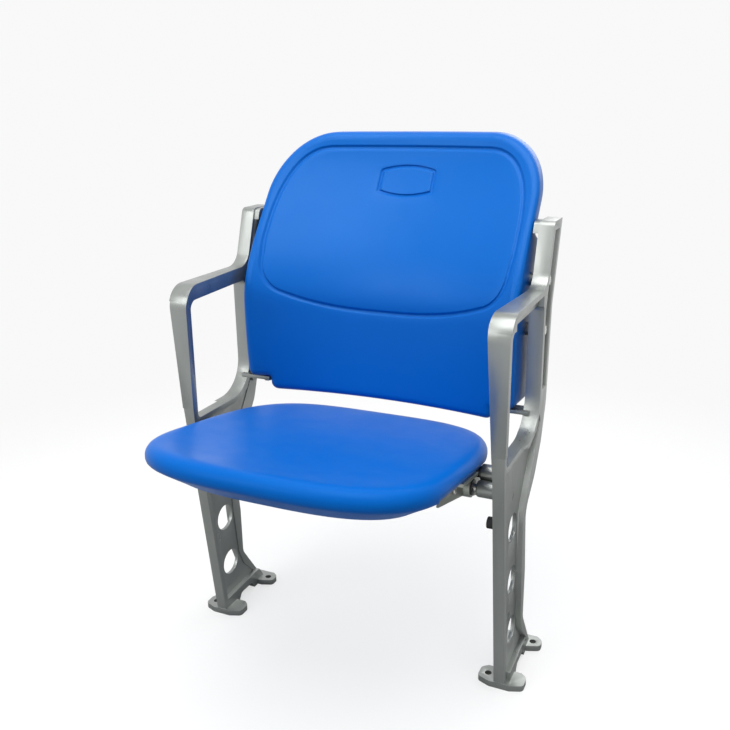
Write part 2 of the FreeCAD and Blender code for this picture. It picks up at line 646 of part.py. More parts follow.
    boss("bumper_boss", BUMPER_Y, BUMPER_Z, "bumper_diameter", "frame_inner")
    screw = newSketch(body, name + "_bumper_hole", "YZ_Plane", x("frame_inner"))
    circle(screw, BUMPER_Y, BUMPER_Z, "bumper_bolt + 2 * fit_seated")
    pocket(body, screw, reverse=side > 0, length="bumper_screw")

    # Ear at the upright's top, which steadies the back's edge
    ear = newSketch(body, name + "_top_ear", "YZ_Plane", x("back_half_width + ear_gap"))
    polygon(ear, [
        ("upright_front + 4 + " + lean("ear_foot"), "ear_foot"),
        ("upright_front + 4 + " + lean("upright_top - 1"), "upright_top - 1"),
        ("upright_front + ear_depth + " + lean("upright_top - 1"), "upright_top - 1"),
        ("upright_front + ear_depth + " + lean("ear_foot"), "ear_foot"),
    ])
    pad(body, ear, web_face + " - back_half_width - ear_gap", reverse=side < 0)
    body.Tip.Refine = True
    doc.recompute()
    if not body.Shape.isValid():
        raise RuntimeError("no valid casting: " + name)
    return body


# Places shared by several pieces
BUFFER_END = "plate_inner + plate_wall + buffer_gap"
PIN_BORE = "pin_length - (boss_end - plate_inner - 1) + face_gap"
BACK_BOLTS = [
    ("low", "upright_front + upright_depth / 2", "bolt_low"),
    ("high", "upright_front + upright_depth / 2 + " + lean("bolt_high"), "bolt_high"),
]
TAB_FRONT = "(upright_front - tab_ahead)"
TAB_BOLT_X = "frame_inner - tab_reach + tab_bolt_in"
TAB_BOLT_Y = "(" + TAB_FRONT + " + tab_depth / 2 + 2)"
# The lug's place when the seat is up gives the bumper's place
LUG_UP_Y = "(pivot_y + lug_y * cos(tip_angle) + lug_z * sin(tip_angle))"
LUG_UP_Z = "(pivot_z - lug_y * sin(tip_angle) + lug_z * cos(tip_angle))"
BUMPER_Y = "(" + LUG_UP_Y + " - (lug_diameter + bumper_diameter) / 2 * cos(6) - face_gap)"
BUMPER_Z = "(" + LUG_UP_Z + " - (lug_diameter + bumper_diameter) / 2 * sin(6))"


def rod(body, label, side, y, z, diameter, start, end, taper=None):
    """A round pad along X between two distances from the middle."""
    sketch = newSketch(body, body.Name + "_" + label, "YZ_Plane", "(%d) * (%s)" % (side, start))
    circle(sketch, y, z, diameter)
    pad(body, sketch, "(%s) - (%s)" % (end, start), reverse=side < 0, taper=taper)


def bore(body, label, side, y, z, diameter, start, end):
    sketch = newSketch(body, body.Name + "_" + label, "YZ_Plane", "(%d) * (%s)" % (side, start))
    circle(sketch, y, z, diameter)
    pocket(body, sketch, reverse=side > 0, length="(%s) - (%s)" % (end, start))


def pivotPin(name, side):
    body = newBody(name)
    rod(body, "rod", side, "pivot_y", "pivot_z", "pin_diameter", "plate_inner + 1",
        "plate_inner + 1 + pin_length")
    return body


def pivotBush(name, side):
    body = newBody(name)
    ear_end = "plate_inner + ear_wall"
    rod(body, "sleeve", side, "pivot_y", "pivot_z", BUSH_OUTER, "plate_inner", ear_end)
    rod(body, "flange", side, "pivot_y", "pivot_z", BUSH_OUTER + " + 2 * bush_collar", ear_end,
        ear_end + " + bush_flange")
    bore(body, "bore", side, "pivot_y", "pivot_z", "pin_diameter + 2 * fit_running",
         "plate_inner - 1", ear_end + " + bush_flange + 1")
    return body


def stopBuffer(name, side):
    body = newBody(name)
    y = "pivot_y + stop_y"
    z = "pivot_z + stop_z"
    rod(body, "ring", side, y, z, "buffer_diameter", BUFFER_END, "boss_end")
    bore(body, "bore", side, y, z, "spigot_diameter + 2 * fit_seated", BUFFER_END + " - 1",
         "boss_end + 1")
    return body


def seatBumper(name, side):
    body = newBody(name)
    end = "frame_inner"
    start = "frame_inner - bumper_length"
    rod(body, "pad", side, BUMPER_Y, BUMPER_Z, "bumper_diameter", start, end)
    bore(body, "bore", side, BUMPER_Y, BUMPER_Z, "bumper_bolt + 2 * fit_seated",
         start + " - 1", end + " + 1")
    bore(body, "head_recess", side, BUMPER_Y, BUMPER_Z, "bumper_head_diameter + 2 * fit_seated",
         start + " - 1", start + " + bumper_recess")
    return body


def seatPoint(along, above):
    """Depth and height of a point given along and above the seat's sloping rim plane."""
    y = "(seat_widest + (%s) * cos(seat_slope) + (%s) * sin(seat_slope))" % (along, above)
    z = "(seat_rim_height - (%s) * sin(seat_slope) + (%s) * cos(seat_slope))" % (along, above)
    return y, z


def hingeBracket(name, side):
    body = newBody(name)

    def plate(label, points, start, length):
        sketch = newSketch(body, name + "_" + label, "YZ_Plane", "(%d) * (%s)" % (side, start))
        polygon(sketch, points)
        pad(body, sketch, length, reverse=side < 0)

    plate("plate", [
        seatPoint("plate_front", CEILING + " - plate_depth"),
        seatPoint("plate_front_top", CEILING),
        seatPoint("plate_rear_top", CEILING),
        ("pivot_y + 15", "pivot_z + 4"),
        ("pivot_y + 6", "pivot_z - 14"),
        ("pivot_y - 12", "pivot_z - 10"),
    ], "plate_inner", "plate_wall")
    rod(body, "ear", side, "pivot_y", "pivot_z", "2 * ear_radius", "plate_inner",
        "plate_inner + ear_wall")
    buffer_low = "(stop_z - buffer_diameter / 2 - face_gap)"
    plate("tail", [
        ("pivot_y + 6", "pivot_z + " + buffer_low),
        ("pivot_y + lug_y - 6", "pivot_z + " + buffer_low),
        ("pivot_y + lug_y + 8", "pivot_z + lug_z + 8"),
        ("pivot_y + lug_y + 8", "pivot_z + lug_z - 6"),
        ("pivot_y + lug_y - 6", "pivot_z + lug_z - 8"),
        ("pivot_y", "pivot_z - ear_radius + 1"),
    ], "plate_inner", "ear_wall")
    plate("flange", [
        seatPoint("flange_start", CEILING + " - flange_wall"),
        seatPoint("flange_start", CEILING),
        seatPoint("flange_end", CEILING),
        seatPoint("flange_end", CEILING + " - flange_wall"),
    ], "plate_inner", "flange_width")
    rod(body, "lug", side, "pivot_y + lug_y", "pivot_z + lug_z", "lug_diameter",
        "plate_inner + 1", "lug_end")
    bore(body, "bush_seat", side, "pivot_y", "pivot_z", BUSH_OUTER + " + 2 * fit_seated",
         "plate_inner - 1", "plate_inner + ear_wall + 1")
    bore(body, "screw_hole", side, SCREW_Y, SCREW_Z, "bore_screw", "plate_inner - 1",
         "plate_inner + plate_wall + 1")
    holes = newSketch(body, name + "_flange_holes", "XY_Plane", "seat_rim_height")
    for along in FLANGE_SCREWS:
        y, z = seatPoint(along, CEILING + " - flange_wall / 2")
        circle(holes, "(%d) * (%s)" % (side, FLANGE_SCREW_X), y, "flange_hole")
    pocket(body, holes)
    return body


def placed(item, place, axis, angle):
    """Bind a primitive's position, and turn it about one axis."""
    item.Placement = FreeCAD.Placement(FreeCAD.Vector(0, 0, 0),
                                       FreeCAD.Rotation(FreeCAD.Vector(*axis), val(angle)))
    for letter, text in zip("xyz", place):
        item.setExpression("Placement.Base." + letter, bound(text))
    item.setExpression("Placement.Rotation.Angle", bound(angle))
    return item


def cylinder(name, place, axis, angle, diameter, length):
    item = doc.addObject("Part::Cylinder", name)
    item.setExpression("Radius", bound("(%s) / 2" % diameter))
    item.setExpression("Height", bound(length))
    return placed(item, place, axis, angle)


def hexagon(name, place, axis, angle, across_flats, length):
    item = doc.addObject("Part::Prism", name)
    item.Polygon = 6
    item.setExpression("Circumradius", bound("(%s) / 2 / cos(30)" % across_flats))
    item.setExpression("Height", bound(length))
    return placed(item, place, axis, angle)


def joined(kind, name, base, tool):
    item = doc.addObject("Part::" + kind, name)
    item.Base = base
    item.Tool = tool
    return item


def group(name, items):
    item = doc.addObject("Part::Compound", name)
    item.Label = name
    item.Links = items
    return item


# Axis of turning that lays a primitive along X
ALONG_X = (0, 1, 0)


def boltAlongX(name, side, y, z, under_head, shank, diameter, flats, head):
    """A hexagon-headed bolt whose shank runs inwards from under_head."""
    turn = "-90" if side > 0 else "90"
    under = "(%d) * (%s)" % (side, under_head)
    top = "(%d) * ((%s) + (%s))" % (side, under_head, head)
    body = cylinder(name + "_shank", (under, y, z), ALONG_X, turn, diameter, shank)
    cap = hexagon(name + "_head", (top, y, z), ALONG_X, turn, flats, head)
    return joined("Fuse", name, body, cap)


def tubeAlongX(name, side, y, z, outer_end, length, outer, inner):
    turn = "-90" if side > 0 else "90"
    end = "(%d) * (%s)" % (side, outer_end)
    further = "(%d) * ((%s) + 1)" % (side, outer_end)
    body = cylinder(name + "_outside", (end, y, z), ALONG_X, turn, outer, length)
    hole = cylinder(name + "_hole", (further, y, z), ALONG_X, turn, inner, "(%s) + 2" % length)
    return joined("Cut", name, body, hole)


def backFasteners(word, side):
    under_head = "web_outer + washer_wall"
    bolts = []
    washers = []
    inserts = []
    for label, y, z in BACK_BOLTS:
        stem = "back_%s_%s" % (word, label)
        shank = under_head + " - back_half_width + bolt_grip"
        bolts.append(boltAlongX(stem + "_bolt", side, y, z, under_head, shank,
                                "bolt_diameter", "bolt_flats", "bolt_head"))
        washers.append(tubeAlongX(stem + "_washer", side, y, z, under_head, "washer_wall",
                                  "washer_diameter", "bore_bolt"))
        inserts.append(tubeAlongX(stem + "_insert", side, y, z, "back_half_width",
                                  "insert_length", "insert_diameter", "bore_bolt"))
    group("back_bolts_" + word, bolts)
    group("back_washers_" + word, washers)
    group("back_inserts_" + word, inserts)


def lowerFasteners(word, side):
    x = "(%d) * (%s)" % (side, TAB_BOLT_X)
    under = "ledge_top - tab_wall"
    name = "lower_back_bolts_" + word
    shank = cylinder(name + "_shank", (x, TAB_BOLT_Y, under), (0, 0, 1), "0", "bolt_diameter",
                     "tab_wall + lower_grip")
    head = hexagon(name + "_head", (x, TAB_BOLT_Y, under + " - bolt_head"), (0, 0, 1), "0",
                   "bolt_flats", "bolt_head")
    joined("Fuse", name, shank, head).Label = name
    name = "lower_back_inserts_" + word
    sleeve = cylinder(name + "_outside", (x, TAB_BOLT_Y, "ledge_top"), (0, 0, 1), "0",
                      "insert_diameter", "insert_length")
    hole = cylinder(name + "_hole", (x, TAB_BOLT_Y, "ledge_top - 1"), (0, 0, 1), "0",
                    "bore_bolt", "insert_length + 2")
    joined("Cut", name, sleeve, hole).Label = name


def bumperScrew(name, side):
    head_top = "frame_inner - bumper_length + bumper_recess - bumper_head"
    turn = "90" if side > 0 else "-90"

    def x(text):
        return "(%d) * (%s)" % (side, text)
    shank = cylinder(name + "_shank", (x(head_top), BUMPER_Y, BUMPER_Z), ALONG_X, turn,
                     "bumper_bolt",
                     "bumper_length - bumper_recess + bumper_head + bumper_screw - 0.5")
    head = cylinder(name + "_head", (x(head_top), BUMPER_Y, BUMPER_Z), ALONG_X, turn,
                    "bumper_head_diameter", "bumper_head")
    joined("Fuse", name, shank, head).Label = name


# Screws of the seat brackets: one through the plate, two through the flange
FLANGE_SCREWS = ["flange_screw_front", "flange_screw_rear"]


def seatFasteners(word, side):
    def x(text):
        return "(%d) * (%s)" % (side, text)
    turn = "-90" if side > 0 else "90"
    outer = "plate_inner + plate_wall"
    shank = cylinder("plate_screw_%s_shank" % word, (x(outer), SCREW_Y, SCREW_Z), ALONG_X, turn,
                     "screw_diameter", "plate_wall + screw_grip")
    head = cylinder("plate_screw_%s_head" % word, (x(outer + " + screw_head"), SCREW_Y, SCREW_Z),
                    ALONG_X, turn, "screw_head_diameter", "screw_head")
    screws = [joined("Fuse", "plate_screw_" + word, shank, head)]
    inserts = [tubeAlongX("plate_insert_" + word, side, SCREW_Y, SCREW_Z, "plate_inner",
                          "seat_insert_length", "seat_insert_diameter", "bore_screw")]
    for index, along in enumerate(FLANGE_SCREWS):
        stem = "flange_%s_%d" % (word, index)
        y, z = seatPoint(along, CEILING + " - flange_wall")
        low_y, low_z = seatPoint(along, CEILING + " - flange_wall - screw_head")
        top_y, top_z = seatPoint(along, CEILING)
        open_y, open_z = seatPoint(along, CEILING + " - 1")
        place = x(FLANGE_SCREW_X)
        shank = cylinder(stem + "_shank", (place, y, z), (1, 0, 0), "-seat_slope",
                         "screw_diameter", "flange_wall + screw_grip")
        head = cylinder(stem + "_head", (place, low_y, low_z), (1, 0, 0), "-seat_slope",
                        "screw_head_diameter", "screw_head")
        screws.append(joined("Fuse", stem, shank, head))
        sleeve = cylinder(stem + "_sleeve", (place, top_y, top_z), (1, 0, 0), "-seat_slope",
                          "seat_insert_diameter", "seat_insert_length")
        hole = cylinder(stem + "_sleeve_hole", (place, open_y, open_z), (1, 0, 0), "-seat_slope",
                        "bore_screw", "seat_insert_length + 2")
        inserts.append(joined("Cut", stem + "_insert", sleeve, hole))
    group("hinge_screws_" + word, screws)
    group("seat_inserts_" + word, inserts)


# Moulded shells, built from formulas of the sizes

def seatOutline(inset, height, count=24):
    """The seat's plan outline, drawn in by inset, at a height above the rim plane."""
    points = []
    for i in range(count):
        turn = 2 * math.pi * i / count
        rear = math.sin(turn) > 0
        power = val("rear_power" if rear else "front_power")
        wide = val("seat_half_width") - inset
        long = (val("seat_rearward") if rear else val("seat_forward")) - inset
        share = (abs(math.cos(turn)) / wide) ** power + (abs(math.sin(turn)) / long) ** power
        reach = share ** (-1 / power)
        points.append(FreeCAD.Vector(reach * math.cos(turn), reach * math.sin(turn), height))
    curve = Part.BSplineCurve()
    curve.interpolate(points, PeriodicFlag=True)
    return Part.Wire([curve.toShape()])


def seatShell(name):
    """The seat, lofted in its own sloping frame and then placed."""
    item = doc.addObject("Part::Feature", name)
    item.Label = name
    crown = val("seat_crown")
    belly = val("seat_belly")
    taper = val("seat_taper")
    sections = [
        (taper, -belly),
        (taper * 0.2, -belly * 0.38),
        (1, -7),
        (0, 1),
        (1.5, 8),
        (6, crown - 4),
        (14, crown),
        (60, crown - val("seat_dish") * 0.7),
        (130, crown - val("seat_dish")),
    ]
    solid = Part.makeLoft([seatOutline(inset, height) for inset, height in sections], True, True)
    ceiling = val(CEILING)
    inner = val("plate_inner")
    slope = math.radians(val("seat_slope"))
    dy = val("pivot_y") - val("seat_widest")
    dz = val("pivot_z") - val("seat_rim_height")
    pivot_along = dy * math.cos(slope) - dz * math.sin(slope)
    pivot_above = dy * math.sin(slope) + dz * math.cos(slope)
    reach = math.hypot(val("stop_y"), val("stop_z")) + val("stop_diameter / 2 + stop_room")
    hole = val("seat_insert_diameter / 2 + fit_seated")
    dy = val(SCREW_Y) - val("seat_widest")
    dz = val(SCREW_Z) - val("seat_rim_height")
    screw_along = dy * math.cos(slope) - dz * math.sin(slope)
    screw_above = dy * math.sin(slope) + dz * math.cos(slope)
    wide = val("room_width")
    deep = val("room_depth")
    length = val("seat_insert_length")
    for side in (1, -1):
        start = inner if side > 0 else -inner - wide
        begin = FreeCAD.Vector(start, val("room_start"), ceiling - deep)
        solid = solid.cut(Part.makeBox(wide, val("room_length"), deep, begin))
        begin = FreeCAD.Vector(side * (inner + val("ear_wall") + 1), pivot_along, pivot_above)
        solid = solid.cut(Part.makeCylinder(reach, wide, begin, FreeCAD.Vector(side, 0, 0)))
        begin = FreeCAD.Vector(side * (inner + 1), screw_along, screw_above)
        inwards = FreeCAD.Vector(-side, 0, 0)
        solid = solid.cut(Part.makeCylinder(hole, length + 2, begin, inwards))
        for place in FLANGE_SCREWS:
            begin = FreeCAD.Vector(side * val(FLANGE_SCREW_X), val(place), ceiling - 1)
            solid = solid.cut(Part.makeCylinder(hole, length + 2, begin))
    item.Shape = solid
    item.Placement = FreeCAD.Placement(
        FreeCAD.Vector(0, val("seat_widest"), val("seat_rim_height")),
        FreeCAD.Rotation(FreeCAD.Vector(1, 0, 0), -val("seat_slope")))
    return item


def backCentre(z):
    """Depth of the back's front face on the middle plane at a height."""
    rise = (z - val("recline_start")) / val("recline_rise")
    rise = min(max(rise, 0), 1)
    lean_share = 3 * rise ** 2 - 2 * rise ** 3
    straight = val("back_face") + val("back_slope") * (z - val("back_bottom"))
    return straight + val("back_recline") * lean_share


def backHollow(z):
    """How far the middle lies behind the edges at a height."""
    above = z - val("dish_height")
    if above < 0:
        share = above / (val("dish_height") - val("back_bottom"))
        return val("back_dish") - val("dish_fall_low") * share ** 2
    share = above / (val("back_top") - val("dish_height"))
    return val("back_dish") - val("dish_fall_high") * share ** 2


def backSection(z, shift, half_width):
    centre = backCentre(z)
    edge = centre - backHollow(z)
    wall = backWall(z)
    left = FreeCAD.Vector(-half_width, edge + shift, z)
    right = FreeCAD.Vector(half_width, edge + shift, z)
    middle = FreeCAD.Vector(0, centre + shift, z)
    back = FreeCAD.Vector(0, wall, 0)
    front_arc = Part.Arc(left, middle, right).toShape()
    rear_arc = Part.Arc(right + back, middle + back, left + back).toShape()
    sides = [Part.makeLine(right, right + back), Part.makeLine(left + back, left)]
    return Part.Wire([front_arc, sides[0], rear_arc, sides[1]])


def backWall(z):
    """Thickness of the back at a height; the upper back is a little thinner."""
    share = (z - val("back_bottom")) / (val("back_top") - val("back_bottom"))
    return val("back_wall") - val("back_thinning") * share


def frontOutline(points, depth):
    """A prism of a front outline, running rearwards."""
    wire = Part.Wire(Part.__sortEdges__(points))
    return Part.Face(wire).extrude(FreeCAD.Vector(0, depth, 0))


def backOutline():
    """The back's front outline: round top corners and a notch at each lower corner."""
    wide = val("back_half_width")
    low = val("back_bottom")
    top = val("back_top")
    corner = val("back_corner")
    notch = val("back_notch")
    inside = wide - val("notch_width")
    diagonal = corner * math.sqrt(0.5)

    def at(x, z):
        return FreeCAD.Vector(x, 0, z)
    edges = []
    turn = val("notch_corner")
    cut = turn * (1 - math.sqrt(0.5))
    shelf = low + notch
    for way in (1, -1):
        part = [
            Part.makeLine(at(0, low), at(inside - turn, low)),
            Part.Arc(at(inside - turn, low), at(inside - cut, low + cut),
                     at(inside, low + turn)).toShape(),
            Part.makeLine(at(inside, low + turn), at(inside, shelf)),
            Part.makeLine(at(inside, shelf), at(wide - turn, shelf)),
            Part.Arc(at(wide - turn, shelf), at(wide - cut, shelf + cut),
                     at(wide, shelf + turn)).toShape(),
            Part.makeLine(at(wide, shelf + turn), at(wide, top - corner)),
            Part.Arc(at(wide, top - corner),
                     at(wide - corner + diagonal, top - corner + diagonal),
                     at(wide - corner, top)).toShape(),
            Part.makeLine(at(wide - corner, top), at(0, top)),
        ]
        if way > 0:
            edges += part
        else:
            mirrored = [edge.mirror(FreeCAD.Vector(0, 0, 0), FreeCAD.Vector(1, 0, 0))
                        for edge in part]
            edges += mirrored[::-1]
    return frontOutline(edges, 3 * val("back_half_width"))


def backShell(name):
    item = doc.addObject("Part::Feature", name)
    item.Label = name
    margin = val("back_margin")
    low = val("back_bottom") - margin / 2
    step = (val("back_top") + margin - low) / (BACK_SECTIONS - 1)
    heights = [low + step * i for i in range(BACK_SECTIONS)]
    wide = val("back_half_width") + margin
    blank = Part.makeLoft([backSection(z, 0, wide) for z in heights], True, False)
    solid = blank.common(backOutline())
    # Mounting ribs behind the edges, where the frame's bolts enter
    for side in (1, -1):
        points = []
        for y, z in (
                (RIB_FRONT, "ledge_top"),
                (RIB_REAR + " - rib_draw", "ledge_top"),
                (RIB_REAR, "bolt_low - mount_diameter"),
                (RIB_REAR, "lean_height"),
                (RIB_REAR + " + " + lean("rib_top"), "rib_top"),
                (RIB_FRONT + " + rib_back_set + " + lean("rib_top"), "rib_top"),
                (RIB_FRONT, "lean_height")):
            points.append(FreeCAD.Vector(side * val("back_half_width"), val(y), val(z)))
        face = Part.Face(Part.makePolygon(points + points[:1]))
        rib = face.extrude(FreeCAD.Vector(-side * val("rib_width"), 0, 0))
        solid = solid.fuse(rib)
    hole = val("insert_diameter / 2 + fit_seated")
    length = val("insert_length") + 3
    for side in (1, -1):
        for label, y, z in BACK_BOLTS:
            begin = FreeCAD.Vector(side * (val("back_half_width") + 1), val(y), val(z))
            inwards = FreeCAD.Vector(-side, 0, 0)
            solid = solid.cut(Part.makeCylinder(hole, length, begin, inwards))
        begin = FreeCAD.Vector(side * val(TAB_BOLT_X), val(TAB_BOLT_Y), val("ledge_top") - 1)
        solid = solid.cut(Part.makeCylinder(hole, length, begin))
    item.Shape = solid.removeSplitter()
    return item


# Places shared by the pieces of the back and of the seat
BACK_SECTIONS = 13
RIB_FRONT = "(upright_front - rib_inset)"
RIB_REAR = "(upright_rear - rib_inset)"
BUSH_OUTER = "(pin_diameter + 2 * fit_running + 2 * bush_wall)"
CEILING = "(-ceiling_drop)"
FLANGE_SCREW_X = "plate_inner + flange_screw_in"
SCREW_Y, SCREW_Z = seatPoint("plate_screw_along", CEILING + " - plate_screw_drop")

for word, side in (("right", 1), ("left", -1)):
    sideFrame(word + "_side_frame", side)
    pivotPin("pivot_pin_" + word, side)
    pivotBush("pivot_bush_" + word, side)
    stopBuffer("stop_buffer_" + word, side)
    seatBumper("seat_bumper_" + word, side)
    bumperScrew("bumper_screws_" + word, side)
    hingeBracket("hinge_bracket_" + word, side)
    backFasteners(word, side)
    lowerFasteners(word, side)
    seatFasteners(word, side)
seatShell("seat_shell")
backShell("back_shell")
doc.recompute()

NODES = ["seat_shell", "back_shell"]
for word in ("right", "left"):
    NODES += [
        word + "_side_frame",
        "pivot_pin_" + word,
        "pivot_bush_" + word,
        "stop_buffer_" + word,
        "seat_bumper_" + word,
        "bumper_screws_" + word,
        "hinge_bracket_" + word,
        "back_bolts_" + word,
        "back_washers_" + word,
        "back_inserts_" + word,
        "lower_back_bolts_" + word,
        "lower_back_inserts_" + word,
        "hinge_screws_" + word,
        "seat_inserts_" + word,
    ]

for item in doc.Objects:
    if "Invalid" in item.State or "Error" in item.State:
        raise RuntimeError("not computed: " + item.Name)
os.makedirs("parts", exist_ok=True)
for node in NODES:
    shape = doc.getObject(node).Shape.copy()
    if shape.isNull() or not shape.isValid():
        raise RuntimeError("no valid shape: " + node)
    shape.translate(FreeCAD.Vector(0, -val("depth_datum"), 0))
    shape.exportStep("parts/" + node + ".step")
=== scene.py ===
import json
import math

import bpy
from mathutils import Matrix, Vector


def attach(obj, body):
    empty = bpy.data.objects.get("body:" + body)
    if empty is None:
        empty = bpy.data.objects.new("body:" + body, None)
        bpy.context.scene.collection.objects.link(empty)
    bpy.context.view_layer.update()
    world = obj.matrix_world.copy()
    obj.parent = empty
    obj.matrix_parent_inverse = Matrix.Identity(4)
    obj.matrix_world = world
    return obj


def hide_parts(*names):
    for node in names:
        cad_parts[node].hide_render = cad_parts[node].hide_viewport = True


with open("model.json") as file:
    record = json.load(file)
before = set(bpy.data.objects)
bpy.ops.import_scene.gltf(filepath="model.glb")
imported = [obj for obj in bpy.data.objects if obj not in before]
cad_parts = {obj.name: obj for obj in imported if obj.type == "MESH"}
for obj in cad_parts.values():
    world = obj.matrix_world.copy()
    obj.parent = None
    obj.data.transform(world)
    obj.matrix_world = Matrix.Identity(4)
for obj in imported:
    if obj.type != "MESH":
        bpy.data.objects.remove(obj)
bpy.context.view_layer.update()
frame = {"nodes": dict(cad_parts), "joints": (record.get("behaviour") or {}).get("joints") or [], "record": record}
nodes = frame["nodes"]
hingePlace = tuple(frame["joints"][0]["pos_m"][1:])     # (y, z) of the axis that the seat tips about
print("frame loaded:", len(nodes), "nodes")


# helpers that several pieces use

sharpAngle = 48     # degrees; an edge that turns by more is eased


def deselectAll():
    if bpy.context.mode != "OBJECT":
        bpy.ops.object.mode_set(mode="OBJECT")
    bpy.ops.object.select_all(action="DESELECT")


def makeActive(piece):
    deselectAll()
    piece.select_set(True)
    bpy.context.view_layer.objects.active = piece


def setMaterial(piece, material):
    piece.data.materials.clear()
    piece.data.materials.append(material)


def smoothPiece(piece, angle):
    makeActive(piece)
    bpy.ops.object.shade_smooth_by_angle(angle=math.radians(angle))


def turnFacesOut(piece):
    makeActive(piece)
    bpy.ops.object.mode_set(mode="EDIT")
    bpy.ops.mesh.select_all(action="SELECT")
    bpy.ops.mesh.normals_make_consistent(inside=False)
    bpy.ops.object.mode_set(mode="OBJECT")


def easeEdges(piece, width, segments):
    makeActive(piece)
    bevel = piece.modifiers.new("easedEdges", "BEVEL")
    bevel.width = width
    bevel.segments = segments
    bevel.limit_method = "ANGLE"
    bevel.angle_limit = math.radians(sharpAngle)
    bpy.ops.object.modifier_apply(modifier="easedEdges")


def addBar(innerX, outerX, place, radius, sides):
    # a round bar along X from innerX to outerX; place is its (y, z)
    deselectAll()
    bpy.ops.mesh.primitive_cylinder_add(
        vertices=sides, radius=radius, depth=abs(outerX - innerX),
        location=((innerX + outerX) / 2, *place), rotation=(0, math.pi / 2, 0))
    return bpy.context.object


def addBoss(innerX, outerX, place, radius, sides, rounding):
    # a bar with rounded ends
    boss = addBar(innerX, outerX, place, radius, sides)
    bpy.ops.object.transform_apply(location=True, rotation=True, scale=True)
    easeEdges(boss, rounding, segments=4)
    return boss


def placeSelected(piece, points):
    # the ring that was just made is selected; its vertices go to the points in order
    chosen = [vertex for vertex in piece.data.vertices if vertex.select]
    for vertex, point in zip(chosen, points):
        vertex.co = point


def startRing(name, points):
    deselectAll()
    bpy.ops.mesh.primitive_circle_add(vertices=len(points))
    piece = bpy.context.object
    piece.name = name
    for vertex in piece.data.vertices:
        vertex.select = True
    placeSelected(piece, points)
    return piece


def growRing(piece, points):
    bpy.ops.object.mode_set(mode="EDIT")
    bpy.ops.mesh.extrude_region_move()
    bpy.ops.object.mode_set(mode="OBJECT")
    placeSelected(piece, points)


def closeToPoint():
    bpy.ops.object.mode_set(mode="EDIT")
    bpy.ops.mesh.merge(type="CENTER")
    bpy.ops.object.mode_set(mode="OBJECT")


def skinOfRings(name, rings):
    # a closed skin from the first ring to the last; both ends close to a point
    piece = startRing(name, rings[0])
    first = [vertex.index for vertex in piece.data.vertices]
    for points in rings[1:]:
        growRing(piece, points)
    closeToPoint()
    for vertex in piece.data.vertices:
        vertex.select = vertex.index in first
    closeToPoint()
    turnFacesOut(piece)
    return piece


# materials

noiseSpan = (0.3, 0.7)      # most of what a noise texture gives lies between these


def addNode(tree, kind, inputs=None, **options):
    # a shader node with its options set, then the values of its inputs
    node = tree.nodes.new("ShaderNode" + kind)
    for option, value in options.items():
        setattr(node, option, value)
    for socket, value in (inputs or {}).items():
        node.inputs[socket].default_value = value
    return node


def newMaterial(name, color, metallic, roughness):
    material = bpy.data.materials.new(name)
    material.use_nodes = True
    shader = material.node_tree.nodes["Principled BSDF"]
    shader.inputs["Base Color"].default_value = (*color, 1)
    shader.inputs["Metallic"].default_value = metallic
    shader.inputs["Roughness"].default_value = roughness
    return material, shader


def addNoise(material, scale, detail, stretch=(1, 1, 1)):
    tree = material.node_tree
    place = addNode(tree, "TexCoord")
    squeeze = addNode(tree, "Mapping", {"Scale": stretch})
    noise = addNode(tree, "TexNoise", {"Scale": scale, "Detail": detail})
    tree.links.new(place.outputs["Object"], squeeze.inputs["Vector"])
    tree.links.new(squeeze.outputs["Vector"], noise.inputs["Vector"])
    return noise


def varyColor(material, shader, noise, dark, light):
    tree = material.node_tree
    mix = addNode(tree, "Mix", {"A": (*dark, 1), "B": (*light, 1)}, data_type="RGBA")
    tree.links.new(noise.outputs["Fac"], mix.inputs["Factor"])
    tree.links.new(mix.outputs["Result"], shader.inputs["Base Color"])


def varyRoughness(material, shader, noise, low, high):
    tree = material.node_tree
    spread = addNode(tree, "MapRange", {"From Min": noiseSpan[0], "From Max": noiseSpan[1],
                                        "To Min": low, "To Max": high})
    tree.links.new(noise.outputs["Fac"], spread.inputs["Value"])
    tree.links.new(spread.outputs["Result"], shader.inputs["Roughness"])


def addBump(material, shader, noise, strength, distance, under=None):
    tree = material.node_tree
    bump = addNode(tree, "Bump", {"Strength": strength, "Distance": distance})
    tree.links.new(noise.outputs["Fac"], bump.inputs["Height"])
    if under:
        tree.links.new(under.outputs["Normal"], bump.inputs["Normal"])
    tree.links.new(bump.outputs["Normal"], shader.inputs["Normal"])
    return bump


def moldedPlastic(name, bend):
    # bend is the index of refraction: the seat is duller than the back
    material, shader = newMaterial(name, (0.001, 0.115, 0.49), metallic=0, roughness=0.34)
    shader.inputs["IOR"].default_value = bend
    shader.inputs["Specular Tint"].default_value = (0.46, 0.76, 1, 1)
    blotch = addNoise(material, scale=6, detail=2)
    varyColor(material, shader, blotch, dark=(0.0010, 0.114, 0.475), light=(0.0018, 0.128, 0.525))
    varyRoughness(material, shader, addNoise(material, scale=25, detail=3), low=0.30, high=0.38)
    grain = addNoise(material, scale=1400, detail=2)
    addBump(material, shader, grain, strength=0.10, distance=0.0006)
    return material


def castMetal():
    material, shader = newMaterial("castAluminium", (0.31, 0.325, 0.31), metallic=0.78, roughness=0.36)
    cloud = addNoise(material, scale=8, detail=5, stretch=(1.6, 1.6, 0.5))
    varyColor(material, shader, cloud, dark=(0.22, 0.237, 0.222), light=(0.40, 0.415, 0.402))
    polish = addNoise(material, scale=36, detail=4, stretch=(1.4, 1.4, 0.4))
    varyRoughness(material, shader, polish, low=0.27, high=0.40)
    flow = addNoise(material, scale=42, detail=2, stretch=(1, 1, 0.3))
    wave = addBump(material, shader, flow, strength=0.12, distance=0.002)
    grain = addNoise(material, scale=900, detail=2)
    addBump(material, shader, grain, strength=0.08, distance=0.0003, under=wave)
    return material


